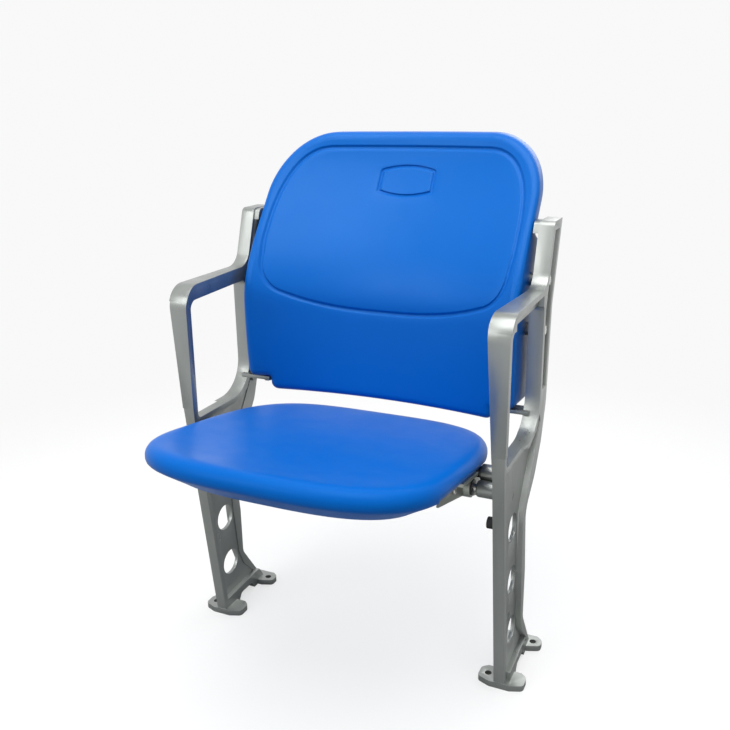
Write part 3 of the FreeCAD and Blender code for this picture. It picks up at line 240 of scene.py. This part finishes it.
def blackRubber():
    material, shader = newMaterial("blackRubber", (0.018, 0.018, 0.018), metallic=0, roughness=0.6)
    grain = addNoise(material, scale=1200, detail=2)
    addBump(material, shader, grain, strength=0.2, distance=0.0004)
    return material


def zincSteel():
    material, shader = newMaterial("zincSteel", (0.70, 0.70, 0.68), metallic=1, roughness=0.24)
    varyRoughness(material, shader, addNoise(material, scale=300, detail=3), low=0.2, high=0.34)
    return material


def bracketMetal():
    material, shader = newMaterial("bracketMetal", (0.36, 0.38, 0.34), metallic=0.8, roughness=0.38)
    varyRoughness(material, shader, addNoise(material, scale=160, detail=4), low=0.3, high=0.46)
    return material


def bearingPlastic():
    material, shader = newMaterial("bearingPlastic", (0.03, 0.03, 0.033), metallic=0, roughness=0.42)
    grain = addNoise(material, scale=900, detail=2)
    addBump(material, shader, grain, strength=0.1, distance=0.0004)
    return material


def insertBrass():
    material, shader = newMaterial("insertBrass", (0.60, 0.42, 0.16), metallic=1, roughness=0.3)
    grain = addNoise(material, scale=800, detail=2)
    addBump(material, shader, grain, strength=0.1, distance=0.0004)
    return material


finishes = {
    "blue_plastic": moldedPlastic("moldedBlue", 1.33),
    "cast_aluminium": castMetal(),
    "black_rubber": blackRubber(),
    "zinc_steel": zincSteel(),
    "bracket_metal": bracketMetal(),
    "bearing_plastic": bearingPlastic(),
    "insert_brass": insertBrass(),
}
seatBlue = moldedPlastic("moldedBlueSeat", 1.19)
slotOfNode = {entry["node"]: entry["material_slot"] for entry in frame["record"]["subparts"]}
for nodeName, node in nodes.items():
    setMaterial(node, finishes[slotOfNode[nodeName]])
print("materials set")


# the moulded back

backSettings = {
    "halfWidth": 0.243, "bottom": 0.408, "top": 0.847,
    "cornerRadius": 0.100,          # upper corners of the outline
    "notchHeight": 0.024, "notchWidth": 0.038, "notchRadius": 0.014, "notchFillet": 0.003,
    "face": 0.1126,                 # front face at the bottom, on the middle plane
    "slope": 0.1, "recline": 0.117, "reclineStart": 0.570, "reclineRise": 0.280,
    "dish": 0.063, "dishHeight": 0.650, "dishSpan": 0.255,
    "dishFallLow": 0.030, "dishFallTop": 0.0155, "dishLow": 0.240, "dishTop": 0.197,
    "wallLow": 0.044, "wallTop": 0.036,
    # deep rib along each side, up to the lean of the upright
    "ribInner": 0.217, "ribEase": 0.010, "ribRear": 0.1600, "ribLean": 0.592, "ribSlope": 0.3346,
    "ribBottom": 0.432, "ribBottomEase": 0.026, "ribTop": 0.700, "ribTopEase": 0.014,
    # the side face leans out by ribFlare, which grows between two distances from the edge
    "ribFlare": 0.0045, "flareStart": 0.020, "flareEnd": 0.006,
    # radii of the outer edge, and how far in the rear face starts
    "roll": 0.014, "rearRoll": 0.005, "rearMargin": 0.004,
    # rings on the way between two outlines, and round each edge
    "panelSteps": 14, "rimSteps": 13, "rollSteps": 6, "rearRollSteps": 4,
    "rearFactors": (1, 0.97, 0.945, 0.93, 0.915, 0.90, 0.885, 0.86,
                    0.8, 0.7, 0.55, 0.4, 0.25, 0.1, 0.02),
    "channelMargin": 0.9,           # from a channel's middle to the plain face, in channel widths
    "smoothAngle": 50,
    # the channel round the reclined upper panel
    "groove": {
        "width": 0.007, "depth": 0.0034,
        "bottom": 0.560, "bottomRise": 0.032, "bottomSpan": 0.190, "bottomPower": 2.5,
        "bottomEnd": 0.182, "bottomSteps": 26,
        "lowerCorner": (0.164, 0.6473), "lowerRadii": (0.055, 0.062), "lowerStart": -70,
        "sideBulge": (0.2222, 0.672),
        "upperCorner": (0.140, 0.700), "upperRadii": (0.0825, 0.121), "upperPower": 2.4,
    },
    # the bare recess, a barrel: bowed top and bottom, straight ends
    "emblem": {
        "height": 0.767, "halfWidth": 0.0485, "halfHeight": 0.0235, "bow": 0.007,
        "bowedShare": 0.92, "bowedSteps": 12, "cornerHeight": 0.004,
        "band": 0.0055, "depth": 0.0034, "innerFactors": (0.05, 0.3, 0.6, 0.85),
    },
}

# points on each run of an outline: bottom, lower corner, side, upper corner, top
runCounts = [24, 30, 24, 22, 12]

# (distance across, depth) of a round-bottomed channel with eased lips, as shares
channelProfile = [(-0.75, 0), (-0.55, 0.10), (-0.35, 0.65), (-0.15, 0.97),
                  (0.15, 0.97), (0.35, 0.65), (0.55, 0.10), (0.75, 0)]


def easedStep(value, start, end):
    # 0 up to start, 1 from end on, and a smooth rise between them
    share = min(max((value - start) / (end - start), 0), 1)
    return share * share * (3 - 2 * share)


def backFaceY(x, z):
    # the front face: it leans back, reclines higher up, and is dished from side to side
    s = backSettings
    lean = easedStep(z, s["reclineStart"], s["reclineStart"] + s["reclineRise"])
    centre = s["face"] + s["slope"] * (z - s["bottom"]) + s["recline"] * lean
    above = z - s["dishHeight"]
    fall = s["dishFallLow"] / s["dishLow"] ** 2 if above < 0 else s["dishFallTop"] / s["dishTop"] ** 2
    hollow = s["dish"] - fall * above ** 2
    return centre - hollow * (x / s["dishSpan"]) ** 2


def backWall(z):
    s = backSettings
    share = (z - s["bottom"]) / (s["top"] - s["bottom"])
    return s["wallLow"] + (s["wallTop"] - s["wallLow"]) * share


def ribRun(z):
    # 1 along the rib, easing to 0 below and above it
    s = backSettings
    begun = easedStep(z, s["ribBottom"] - s["ribBottomEase"], s["ribBottom"])
    ended = easedStep(z, s["ribTop"] - s["ribTopEase"], s["ribTop"])
    return begun * (1 - ended)


def ribDepth(x, z):
    # how far the rib along the side reaches behind the plain wall
    s = backSettings
    rear = s["ribRear"] + s["ribSlope"] * max(z - s["ribLean"], 0)
    plain = backFaceY(x, z) + backWall(z)
    share = easedStep(abs(x), s["ribInner"] - s["ribEase"], s["ribInner"])
    return max(rear - plain, 0) * share * ribRun(z)


def ribFlare(x, z):
    # how far the side face leans out at the rear
    s = backSettings
    share = easedStep(abs(x), s["halfWidth"] - s["flareStart"], s["halfWidth"] - s["flareEnd"])
    return math.copysign(s["ribFlare"] * share * ribRun(z), x)


def samplePath(path, count):
    # evenly spaced points along a polyline, without the last one
    lengths = [0]
    for a, b in zip(path, path[1:]):
        lengths.append(lengths[-1] + math.dist(a, b))
    points = []
    step = 0
    for i in range(count):
        goal = lengths[-1] * i / count
        while lengths[step + 1] < goal:
            step += 1
        share = (goal - lengths[step]) / max(lengths[step + 1] - lengths[step], 1e-9)
        a, b = path[step], path[step + 1]
        points.append((a[0] + (b[0] - a[0]) * share, a[1] + (b[1] - a[1]) * share))
    return points


def arcPath(centre, radiusX, radiusZ, start, end, power=2, count=24):
    # power 2 is an ellipse; more makes it squarer
    points = []
    for i in range(count + 1):
        turn = math.radians(start + (end - start) * i / count)
        across, up = math.cos(turn), math.sin(turn)
        x = centre[0] + radiusX * math.copysign(abs(across) ** (2 / power), across)
        z = centre[1] + radiusZ * math.copysign(abs(up) ** (2 / power), up)
        points.append((x, z))
    return points


def closedLoop(runs):
    # runs make the right half from bottom middle to top middle; the left half mirrors it
    half = []
    for run, count in zip(runs, runCounts):
        half += samplePath(run, count)
    top = runs[-1][-1]
    mirrored = [(-x, z) for x, z in half[1:]]
    return half + [top] + mirrored[::-1]


def outerLoop():
    s = backSettings
    wide, low, top = s["halfWidth"], s["bottom"], s["top"]
    inside, r, fillet = s["halfWidth"] - s["notchWidth"], s["notchRadius"], s["notchFillet"]
    ledge = low + s["notchHeight"]
    corner = s["cornerRadius"]
    lower = arcPath((inside - r, low + r), r, r, -90, 0)
    lower += arcPath((inside + fillet, ledge - fillet), fillet, fillet, 180, 90, count=4)
    lower += arcPath((wide - r, ledge + r), r, r, -90, 0)
    return closedLoop([
        [(0, low), (inside - r, low)],
        lower,
        [(wide, ledge + r), (wide, top - corner)],
        arcPath((wide - corner, top - corner), corner, corner, 0, 90),
        [(wide - corner, top), (0, top)],
    ])


def grooveLoop():
    s = backSettings["groove"]
    bottomArc = []
    for i in range(s["bottomSteps"] + 1):
        x = s["bottomEnd"] * i / s["bottomSteps"]
        bottomArc.append((x, s["bottom"] + s["bottomRise"] * (x / s["bottomSpan"]) ** s["bottomPower"]))
    lowX, lowZ = s["lowerCorner"]
    highX, highZ = s["upperCorner"]
    lowWide, lowTall = s["lowerRadii"]
    highWide, highTall = s["upperRadii"]
    top = highZ + highTall
    return closedLoop([
        bottomArc,
        arcPath((lowX, lowZ), lowWide, lowTall, s["lowerStart"], 0),
        [(lowX + lowWide, lowZ), s["sideBulge"], (highX + highWide, highZ)],
        arcPath((highX, highZ), highWide, highTall, 0, 90, s["upperPower"]),
        [(highX, top), (0, top)],
    ])


def emblemLoop():
    s = backSettings["emblem"]
    wide, middle, tall = s["halfWidth"], s["height"], s["cornerHeight"]
    corner = wide * s["bowedShare"]

    def edge(x):
        return s["halfHeight"] - s["bow"] * (x / wide) ** 2

    low, high = middle - edge(corner) + tall, middle + edge(corner) - tall
    xs = [corner * i / s["bowedSteps"] for i in range(s["bowedSteps"] + 1)]
    return closedLoop([
        [(x, middle - edge(x)) for x in xs],
        arcPath((corner, low), wide - corner, tall, -90, 0, count=6),
        [(wide, low), (wide, high)],
        arcPath((corner, high), wide - corner, tall, 0, 90, count=6),
        [(x, middle + edge(x)) for x in xs[::-1]],
    ])


def insetLoop(loop, distance):
    # each point moves inwards along its normal
    count = len(loop)
    moved = []
    for i, (x, z) in enumerate(loop):
        before, after = loop[i - 1], loop[(i + 1) % count]
        dx, dz = after[0] - before[0], after[1] - before[1]
        size = math.hypot(dx, dz) or 1
        moved.append((x - dz / size * distance, z + dx / size * distance))
    return moved


def blendLoops(a, b, share):
    return [(p[0] + (q[0] - p[0]) * share, p[1] + (q[1] - p[1]) * share) for p, q in zip(a, b)]


def scaleLoop(loop, factor):
    middleZ = sum(z for x, z in loop) / len(loop)
    return [(x * factor, middleZ + (z - middleZ) * factor) for x, z in loop]


def frontRing(loop, depth=0):
    # the loop laid on the front face, moved back by depth
    return [(x, backFaceY(x, z) + depth, z) for x, z in loop]


def rearRing(loop, depth=0):
    # the loop laid on the rear face, moved forward by depth
    ring = []
    for x, z in loop:
        rear = backFaceY(x, z) + backWall(z) + ribDepth(x, z)
        ring.append((x + ribFlare(x, z), rear - depth, z))
    return ring


def channelRings(loop, width, depth):
    return [frontRing(insetLoop(loop, -across * width), depth * share) for across, share in channelProfile]


def plainRings(inner, outer, steps):
    return [frontRing(blendLoops(inner, outer, i / steps)) for i in range(1, steps)]


def quarterTurn(steps):
    return [math.radians(90 * i / steps) for i in range(steps + 1)]


def backRings():
    # from the middle of the recess over the front face, round the edge, to the middle of the rear
    s = backSettings
    outer, groove, emblem = outerLoop(), grooveLoop(), emblemLoop()
    band, bandDepth = s["emblem"]["band"], s["emblem"]["depth"]
    width, depth = s["groove"]["width"], s["groove"]["depth"]
    margin = s["channelMargin"]
    rings = [frontRing(scaleLoop(emblem, factor)) for factor in s["emblem"]["innerFactors"]]
    rings += channelRings(emblem, band, bandDepth)
    rings += plainRings(insetLoop(emblem, -margin * band), insetLoop(groove, margin * width), s["panelSteps"])
    rings += channelRings(groove, width, depth)
    rings += plainRings(insetLoop(groove, -margin * width), insetLoop(outer, s["roll"]), s["rimSteps"])
    for turn in quarterTurn(s["rollSteps"]):
        inset = s["roll"] * (1 - math.sin(turn))
        rings.append(frontRing(insetLoop(outer, inset), s["roll"] * (1 - math.cos(turn))))
    for turn in quarterTurn(s["rearRollSteps"]):
        inset = s["rearRoll"] * (1 - math.cos(turn))
        rings.append(rearRing(insetLoop(outer, inset), s["rearRoll"] * (1 - math.sin(turn))))
    rearIn = insetLoop(outer, s["rearRoll"] + s["rearMargin"])
    rings += [rearRing(scaleLoop(rearIn, factor)) for factor in s["rearFactors"]]
    return rings


def makeBack():
    piece = skinOfRings("moldedBack", backRings())
    setMaterial(piece, finishes["blue_plastic"])
    smoothPiece(piece, backSettings["smoothAngle"])
    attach(piece, "frame")
    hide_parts("back_shell")
    print("back made:", len(piece.data.polygons), "faces")


# the moulded seat

seatSettings = {
    "halfWidth": 0.230, "forward": 0.163, "rearward": 0.285,
    "frontPower": 3.0, "rearPower": 3.8,
    "widest": -0.1484, "rimHeight": 0.407, "slope": 8.5,
    # (drawn in, height above the rim plane), from the underside over the rim to the middle
    "section": [
        (0.200, -0.035), (0.120, -0.036), (0.060, -0.0368), (0.050, -0.0366), (0.0445, -0.0350),
        (0.040, -0.0322), (0.030, -0.0262), (0.020, -0.0204), (0.010, -0.0146),
        (0.004, -0.0108), (0.0015, -0.0080), (0.0003, -0.0040), (0, 0.0005),
        (0.0006, 0.0045), (0.0022, 0.0085), (0.0048, 0.0122), (0.0085, 0.0150),
        (0.013, 0.0167), (0.018, 0.0172), (0.025, 0.0168), (0.036, 0.0155), (0.055, 0.0137),
        (0.080, 0.0122), (0.110, 0.0110), (0.140, 0.0104), (0.160, 0.0101),
    ],
    "points": 144,
    # a ring drawn in past middleInset comes in a little less along the seat, and keeps leastLength
    "middleInset": 0.158, "middleShare": 0.98, "leastLength": 0.003,
    # room for the hinge at each side: a flat ceiling, then one that rises to the outside
    "roomInner": 0.1955, "roomShoulder": 0.2215, "roomOuter": 0.270,
    "roomFloor": -0.060, "roomCeiling": -0.010, "roomRise": 1.7,
    "roomStart": 0.014, "roomSlant": 2.67, "roomLean": 0.008, "roomEnd": 0.235,
    # round room about the hinge for the bosses of the frame: radius, inner end
    "pivotRoom": 0.0415, "pivotInner": 0.209,
    # moulded boss round the insert of the plate screw: along, above, radius, inner end
    "screwBoss": (0.0811, -0.0354, 0.0066, 0.171), "bossClearance": 0.0002, "bossRounding": 0.004,
    "smoothAngle": 50,
}


def seatPoint(x, along, above):
    # a place along the sloping rim plane and above it
    s = seatSettings
    tilt = math.radians(s["slope"])
    y = s["widest"] + along * math.cos(tilt) + above * math.sin(tilt)
    z = s["rimHeight"] - along * math.sin(tilt) + above * math.cos(tilt)
    return x, y, z


def seatRing(inset, height):
    s = seatSettings
    points = []
    for i in range(s["points"]):
        turn = 2 * math.pi * i / s["points"]
        across, back = math.cos(turn), math.sin(turn)
        power = s["rearPower"] if back > 0 else s["frontPower"]
        share = 1 if inset < s["middleInset"] else s["middleShare"]
        long = (s["rearward"] if back > 0 else s["forward"]) - inset * share
        long = max(long, s["leastLength"])
        wide = s["halfWidth"] - inset
        reach = ((abs(across) / wide) ** power + (abs(back) / long) ** power) ** (-1 / power)
        points.append(seatPoint(reach * across, reach * back, height))
    return points


def cutAway(piece, cutter):
    makeActive(piece)
    cut = piece.modifiers.new("room", "BOOLEAN")
    cut.operation = "DIFFERENCE"
    cut.solver = "EXACT"
    cut.object = cutter
    bpy.ops.object.modifier_apply(modifier="room")
    makeActive(cutter)
    bpy.ops.object.delete()


def makeHingeRoom(piece, side):
    # two pockets with a leaning front for the plate, and a round one for the bosses
    s = seatSettings
    for inner, rise in ((s["roomInner"], 0), (s["roomShoulder"], s["roomRise"])):
        deselectAll()
        bpy.ops.mesh.primitive_cube_add(size=1)
        pocket = bpy.context.object
        for vertex in pocket.data.vertices:
            rear, high, outer = (number > 0 for number in vertex.co)
            x = s["roomOuter"] if outer else inner
            start = s["roomStart"] - s["roomSlant"] * (x - s["roomInner"]) + (s["roomLean"] if high else 0)
            above = s["roomCeiling"] + rise * (x - inner) if high else s["roomFloor"]
            vertex.co = seatPoint(side * x, s["roomEnd"] if rear else start, above)
        turnFacesOut(pocket)
        cutAway(piece, pocket)
    bore = addBar(side * s["pivotInner"], side * s["roomOuter"], hingePlace, s["pivotRoom"], sides=64)
    cutAway(piece, bore)


def makeScrewBoss(side):
    s = seatSettings
    along, above, radius, innerEnd = s["screwBoss"]
    outerEnd = s["roomInner"] - s["bossClearance"]
    place = seatPoint(0, along, above)[1:]
    return addBoss(side * innerEnd, side * outerEnd, place, radius, sides=48, rounding=s["bossRounding"])


def makeSeat():
    rings = [seatRing(inset, height) for inset, height in seatSettings["section"]]
    piece = skinOfRings("moldedSeat", rings)
    for side in (-1, 1):
        makeHingeRoom(piece, side)
    bosses = [makeScrewBoss(side) for side in (-1, 1)]
    makeActive(piece)
    for boss in bosses:
        boss.select_set(True)
    bpy.ops.object.join()
    setMaterial(piece, seatBlue)
    smoothPiece(piece, seatSettings["smoothAngle"])
    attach(piece, "seat")
    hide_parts("seat_shell")
    print("seat made:", len(piece.data.polygons), "faces")


# cast frames: the CAD node's form with eased edges

castSettings = {
    "edge": 0.0022, "steps": 3, "smoothAngle": 40,
    "weld": 0.00001,            # points of a CAD mesh this close become one
    "flatAngle": 1.0,           # degrees; faces that turn by less become one
    "alongShare": 0.9,          # an edge lies along an axis when this share of its length does
    "footHeight": 0.030, "footRound": 0.005, "footMiddle": 0.263, "footReach": 0.0288,
    "capRound": 0.008, "capReach": 0.004,
    "bossRadius": 0.0132, "bossEnd": 0.2172, "bossRoot": 0.2660, "bossRounding": 0.0035,
    "stopBoss": (0.0046, 0.360),    # (y, z); the other boss is at the hinge
}


def bevelEdges(piece, wanted, offset, steps):
    # bevels the edges whose two ends answer wanted(a, b)
    makeActive(piece)
    bpy.ops.object.mode_set(mode="EDIT")
    bpy.ops.mesh.select_mode(type="EDGE")
    bpy.ops.mesh.select_all(action="DESELECT")
    bpy.ops.object.mode_set(mode="OBJECT")
    # copies, taken here because edit mode replaces the mesh's own points
    points = [vertex.co.copy() for vertex in piece.data.vertices]
    for edge in piece.data.edges:
        a, b = (points[index] for index in edge.vertices)
        edge.select = wanted(a, b)
    bpy.ops.object.mode_set(mode="EDIT")
    bpy.ops.mesh.bevel(offset=offset, segments=steps)
    bpy.ops.object.mode_set(mode="OBJECT")


def roundCasting(piece):
    # the corners of the foot pads, then the front edge of the cap on the upright
    s = castSettings

    def footCorner(a, b):
        atEnd = abs(abs(a.x) - s["footMiddle"]) > s["footReach"]
        upright = abs(a.z - b.z) > s["alongShare"] * (a - b).length
        return atEnd and upright and max(a.z, b.z) < s["footHeight"]

    bevelEdges(piece, footCorner, s["footRound"], steps=5)
    points = [vertex.co for vertex in piece.data.vertices]
    top = max(point.z for point in points)
    front = min(point.y for point in points if point.z > top - s["capReach"])

    def capFront(a, b):
        high = min(a.z, b.z) > top - s["capReach"]
        ahead = max(a.y, b.y) < front + s["capReach"]
        return high and ahead and abs(a.x - b.x) > s["alongShare"] * (a - b).length

    bevelEdges(piece, capFront, s["capRound"], steps=6)


def easedCopy(nodeName, pieceName, body, edge, steps, shape=None):
    # shape is a function that changes the copy before its edges are eased
    node = nodes[nodeName]
    deselectAll()
    piece = node.copy()
    piece.data = node.data.copy()
    piece.name = pieceName
    piece.parent = None
    bpy.context.collection.objects.link(piece)
    makeActive(piece)
    bpy.ops.object.mode_set(mode="EDIT")
    bpy.ops.mesh.select_all(action="SELECT")
    bpy.ops.mesh.remove_doubles(threshold=castSettings["weld"])
    bpy.ops.mesh.dissolve_limited(angle_limit=math.radians(castSettings["flatAngle"]))
    bpy.ops.object.mode_set(mode="OBJECT")
    if shape:
        shape(piece)
    easeEdges(piece, edge, steps)
    slotName = slotOfNode[nodeName]
    setMaterial(piece, finishes[slotName])
    smoothPiece(piece, castSettings["smoothAngle"])
    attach(piece, body)
    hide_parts(nodeName)
    return piece


def makeFrames():
    s = castSettings
    for side, word in ((-1, "left"), (1, "right")):
        # round bosses with an eased end stand on the inner face of the web
        bosses = []
        for place in (hingePlace, s["stopBoss"]):
            bosses.append(addBoss(side * s["bossEnd"], side * s["bossRoot"], place,
                                  s["bossRadius"], sides=64, rounding=s["bossRounding"]))
        piece = easedCopy(word + "_side_frame", word + "CastFrame", "frame",
                          s["edge"], s["steps"], shape=roundCasting)
        for boss in bosses:
            setMaterial(boss, finishes["cast_aluminium"])
            boss.select_set(True)
        bpy.ops.object.join()
        smoothPiece(piece, s["smoothAngle"])
        print(word, "frame eased:", len(piece.data.polygons), "faces")


smallSettings = {
    # CAD node without its side: (piece name, what it rides, edge, steps)
    "hinge_bracket": ("HingeBracket", "seat", 0.0012, 3),
    "hinge_screws": ("HingeScrews", "seat", 0.0007, 3),
    "pivot_bush": ("PivotBush", "seat", 0.0004, 2),
    "pivot_pin": ("PivotPin", "frame", 0.0010, 3),
    "stop_buffer": ("StopBuffer", "frame", 0.0012, 3),
    "seat_bumper": ("SeatBumper", "frame", 0.0014, 3),
    "bumper_screws": ("BumperScrews", "frame", 0.0005, 2),
    "back_bolts": ("BackBolts", "frame", 0.0007, 3),
    "back_washers": ("BackWashers", "frame", 0.0003, 2),
    "lower_back_bolts": ("LowerBackBolts", "frame", 0.0007, 3),
}


def makeSmallParts():
    for base, (title, body, edge, steps) in smallSettings.items():
        for word in ("left", "right"):
            easedCopy(base + "_" + word, word + title, body, edge, steps)
    print("small parts eased:", 2 * len(smallSettings))


# floor, light and camera

stageSettings = {
    "floorSize": 8, "floorColor": (0.36, 0.36, 0.35), "floorLift": 0.61, "floorFade": (0.45, 1.7),
    "white": (0.945, 0.945, 0.945), "zenith": (0.80, 0.82, 0.86), "horizon": (0.26, 0.28, 0.29),
    "skySpan": (0.05, 0.85),
    "lamps": {
        # name: (place, aimed at, size, watts)
        "topLamp": ((0.1, -0.6, 2.9), (0, 0, 0.5), 2.2, 54),
        "leftLamp": ((-1.7, -2.7, 2.2), (0, 0, 0.5), 1.8, 27),
        "rightLamp": ((2.7, -1.5, 1.5), (0, 0, 0.4), 1.6, 3),
        "rearLamp": ((0.5, 2.6, 2.0), (0, 0, 0.6), 2.0, 20),
    },
}


def mixShaders(tree, factor, first, second):
    # factor 0 is the first shader, 1 the second
    mix = addNode(tree, "MixShader")
    tree.links.new(factor, mix.inputs["Fac"])
    tree.links.new(first, mix.inputs[1])
    tree.links.new(second, mix.inputs[2])
    return mix.outputs["Shader"]


def raysThatSeeWhite(tree):
    # 1 for camera, mirror and glass rays, 0 for the light on the object
    path = addNode(tree, "LightPath")
    seen = path.outputs["Is Camera Ray"]
    for ray in ("Is Glossy Ray", "Is Transmission Ray"):
        more = addNode(tree, "Math", operation="MAXIMUM")
        tree.links.new(seen, more.inputs[0])
        tree.links.new(path.outputs[ray], more.inputs[1])
        seen = more.outputs["Value"]
    return seen


def makeWorld():
    s = stageSettings
    world = bpy.data.worlds.new("paleRoom")
    bpy.context.scene.world = world
    world.use_nodes = True
    tree = world.node_tree
    tree.nodes.clear()
    place = addNode(tree, "TexCoord")
    split = addNode(tree, "SeparateXYZ")
    tree.links.new(place.outputs["Generated"], split.inputs["Vector"])
    rise = addNode(tree, "MapRange", {"From Min": s["skySpan"][0], "From Max": s["skySpan"][1]})
    tree.links.new(split.outputs["Z"], rise.inputs["Value"])
    sky = addNode(tree, "Mix", {"A": (*s["horizon"], 1), "B": (*s["zenith"], 1)}, data_type="RGBA")
    tree.links.new(rise.outputs["Result"], sky.inputs["Factor"])
    light = addNode(tree, "Background")
    tree.links.new(sky.outputs["Result"], light.inputs["Color"])
    white = addNode(tree, "Background", {"Color": (*s["white"], 1), "Strength": 1})
    both = mixShaders(tree, raysThatSeeWhite(tree), light.outputs["Background"], white.outputs["Background"])
    output = addNode(tree, "OutputWorld")
    tree.links.new(both, output.inputs["Surface"])


def makeFloor():
    s = stageSettings
    deselectAll()
    bpy.ops.mesh.primitive_plane_add(size=s["floorSize"], location=(0, 0, 0))
    floor = bpy.context.object
    floor.name = "paleFloor"
    material, shader = newMaterial("paleFloor", s["floorColor"], metallic=0, roughness=0.9)
    tree = material.node_tree
    path = addNode(tree, "LightPath")
    lift = addNode(tree, "Math", {1: s["floorLift"]}, operation="MULTIPLY")
    tree.links.new(path.outputs["Is Camera Ray"], lift.inputs[0])
    shader.inputs["Emission Color"].default_value = (1, 1, 1, 1)
    tree.links.new(lift.outputs["Value"], shader.inputs["Emission Strength"])
    # the floor gives way to the background further out, so no horizon shows
    place = addNode(tree, "TexCoord")
    away = addNode(tree, "VectorMath", operation="LENGTH")
    tree.links.new(place.outputs["Object"], away.inputs[0])
    fade = addNode(tree, "MapRange", {"From Min": s["floorFade"][0], "From Max": s["floorFade"][1]},
                   interpolation_type="SMOOTHSTEP")
    tree.links.new(away.outputs["Value"], fade.inputs["Value"])
    clear = addNode(tree, "BsdfTransparent")
    both = mixShaders(tree, fade.outputs["Result"], shader.outputs["BSDF"], clear.outputs["BSDF"])
    tree.links.new(both, tree.nodes["Material Output"].inputs["Surface"])
    setMaterial(floor, material)


def makeLamps():
    for name, (place, target, size, watts) in stageSettings["lamps"].items():
        deselectAll()
        bpy.ops.object.light_add(type="AREA", location=place)
        lamp = bpy.context.object
        lamp.name = name
        lamp.data.size = size
        lamp.data.energy = watts
        lamp.rotation_euler = (Vector(target) - Vector(place)).to_track_quat("-Z", "Y").to_euler()


cameraSettings = {
    "place": (0.55606, -1.14199, 0.90780),
    "turnLeft": 24.858, "lookDown": 17.566, "roll": -0.923,
    "lens": 41.93, "sensor": 36, "nearest": 0.05,
}


def makeCamera():
    s = cameraSettings
    deselectAll()
    bpy.ops.object.camera_add(location=s["place"])
    camera = bpy.context.object
    turn = Matrix.Rotation(math.radians(s["turnLeft"]), 3, "Z")
    tilt = Matrix.Rotation(math.radians(90 - s["lookDown"]), 3, "X")
    roll = Matrix.Rotation(math.radians(s["roll"]), 3, "Z")
    camera.rotation_euler = (turn @ tilt @ roll).to_euler()
    camera.data.lens = s["lens"]
    camera.data.sensor_width = s["sensor"]
    camera.data.clip_start = s["nearest"]
    bpy.context.scene.camera = camera


makeBack()
makeSeat()
makeFrames()
makeSmallParts()
makeWorld()
makeFloor()
makeLamps()
makeCamera()
bpy.context.scene.view_settings.view_transform = "Standard"
print("stage set")
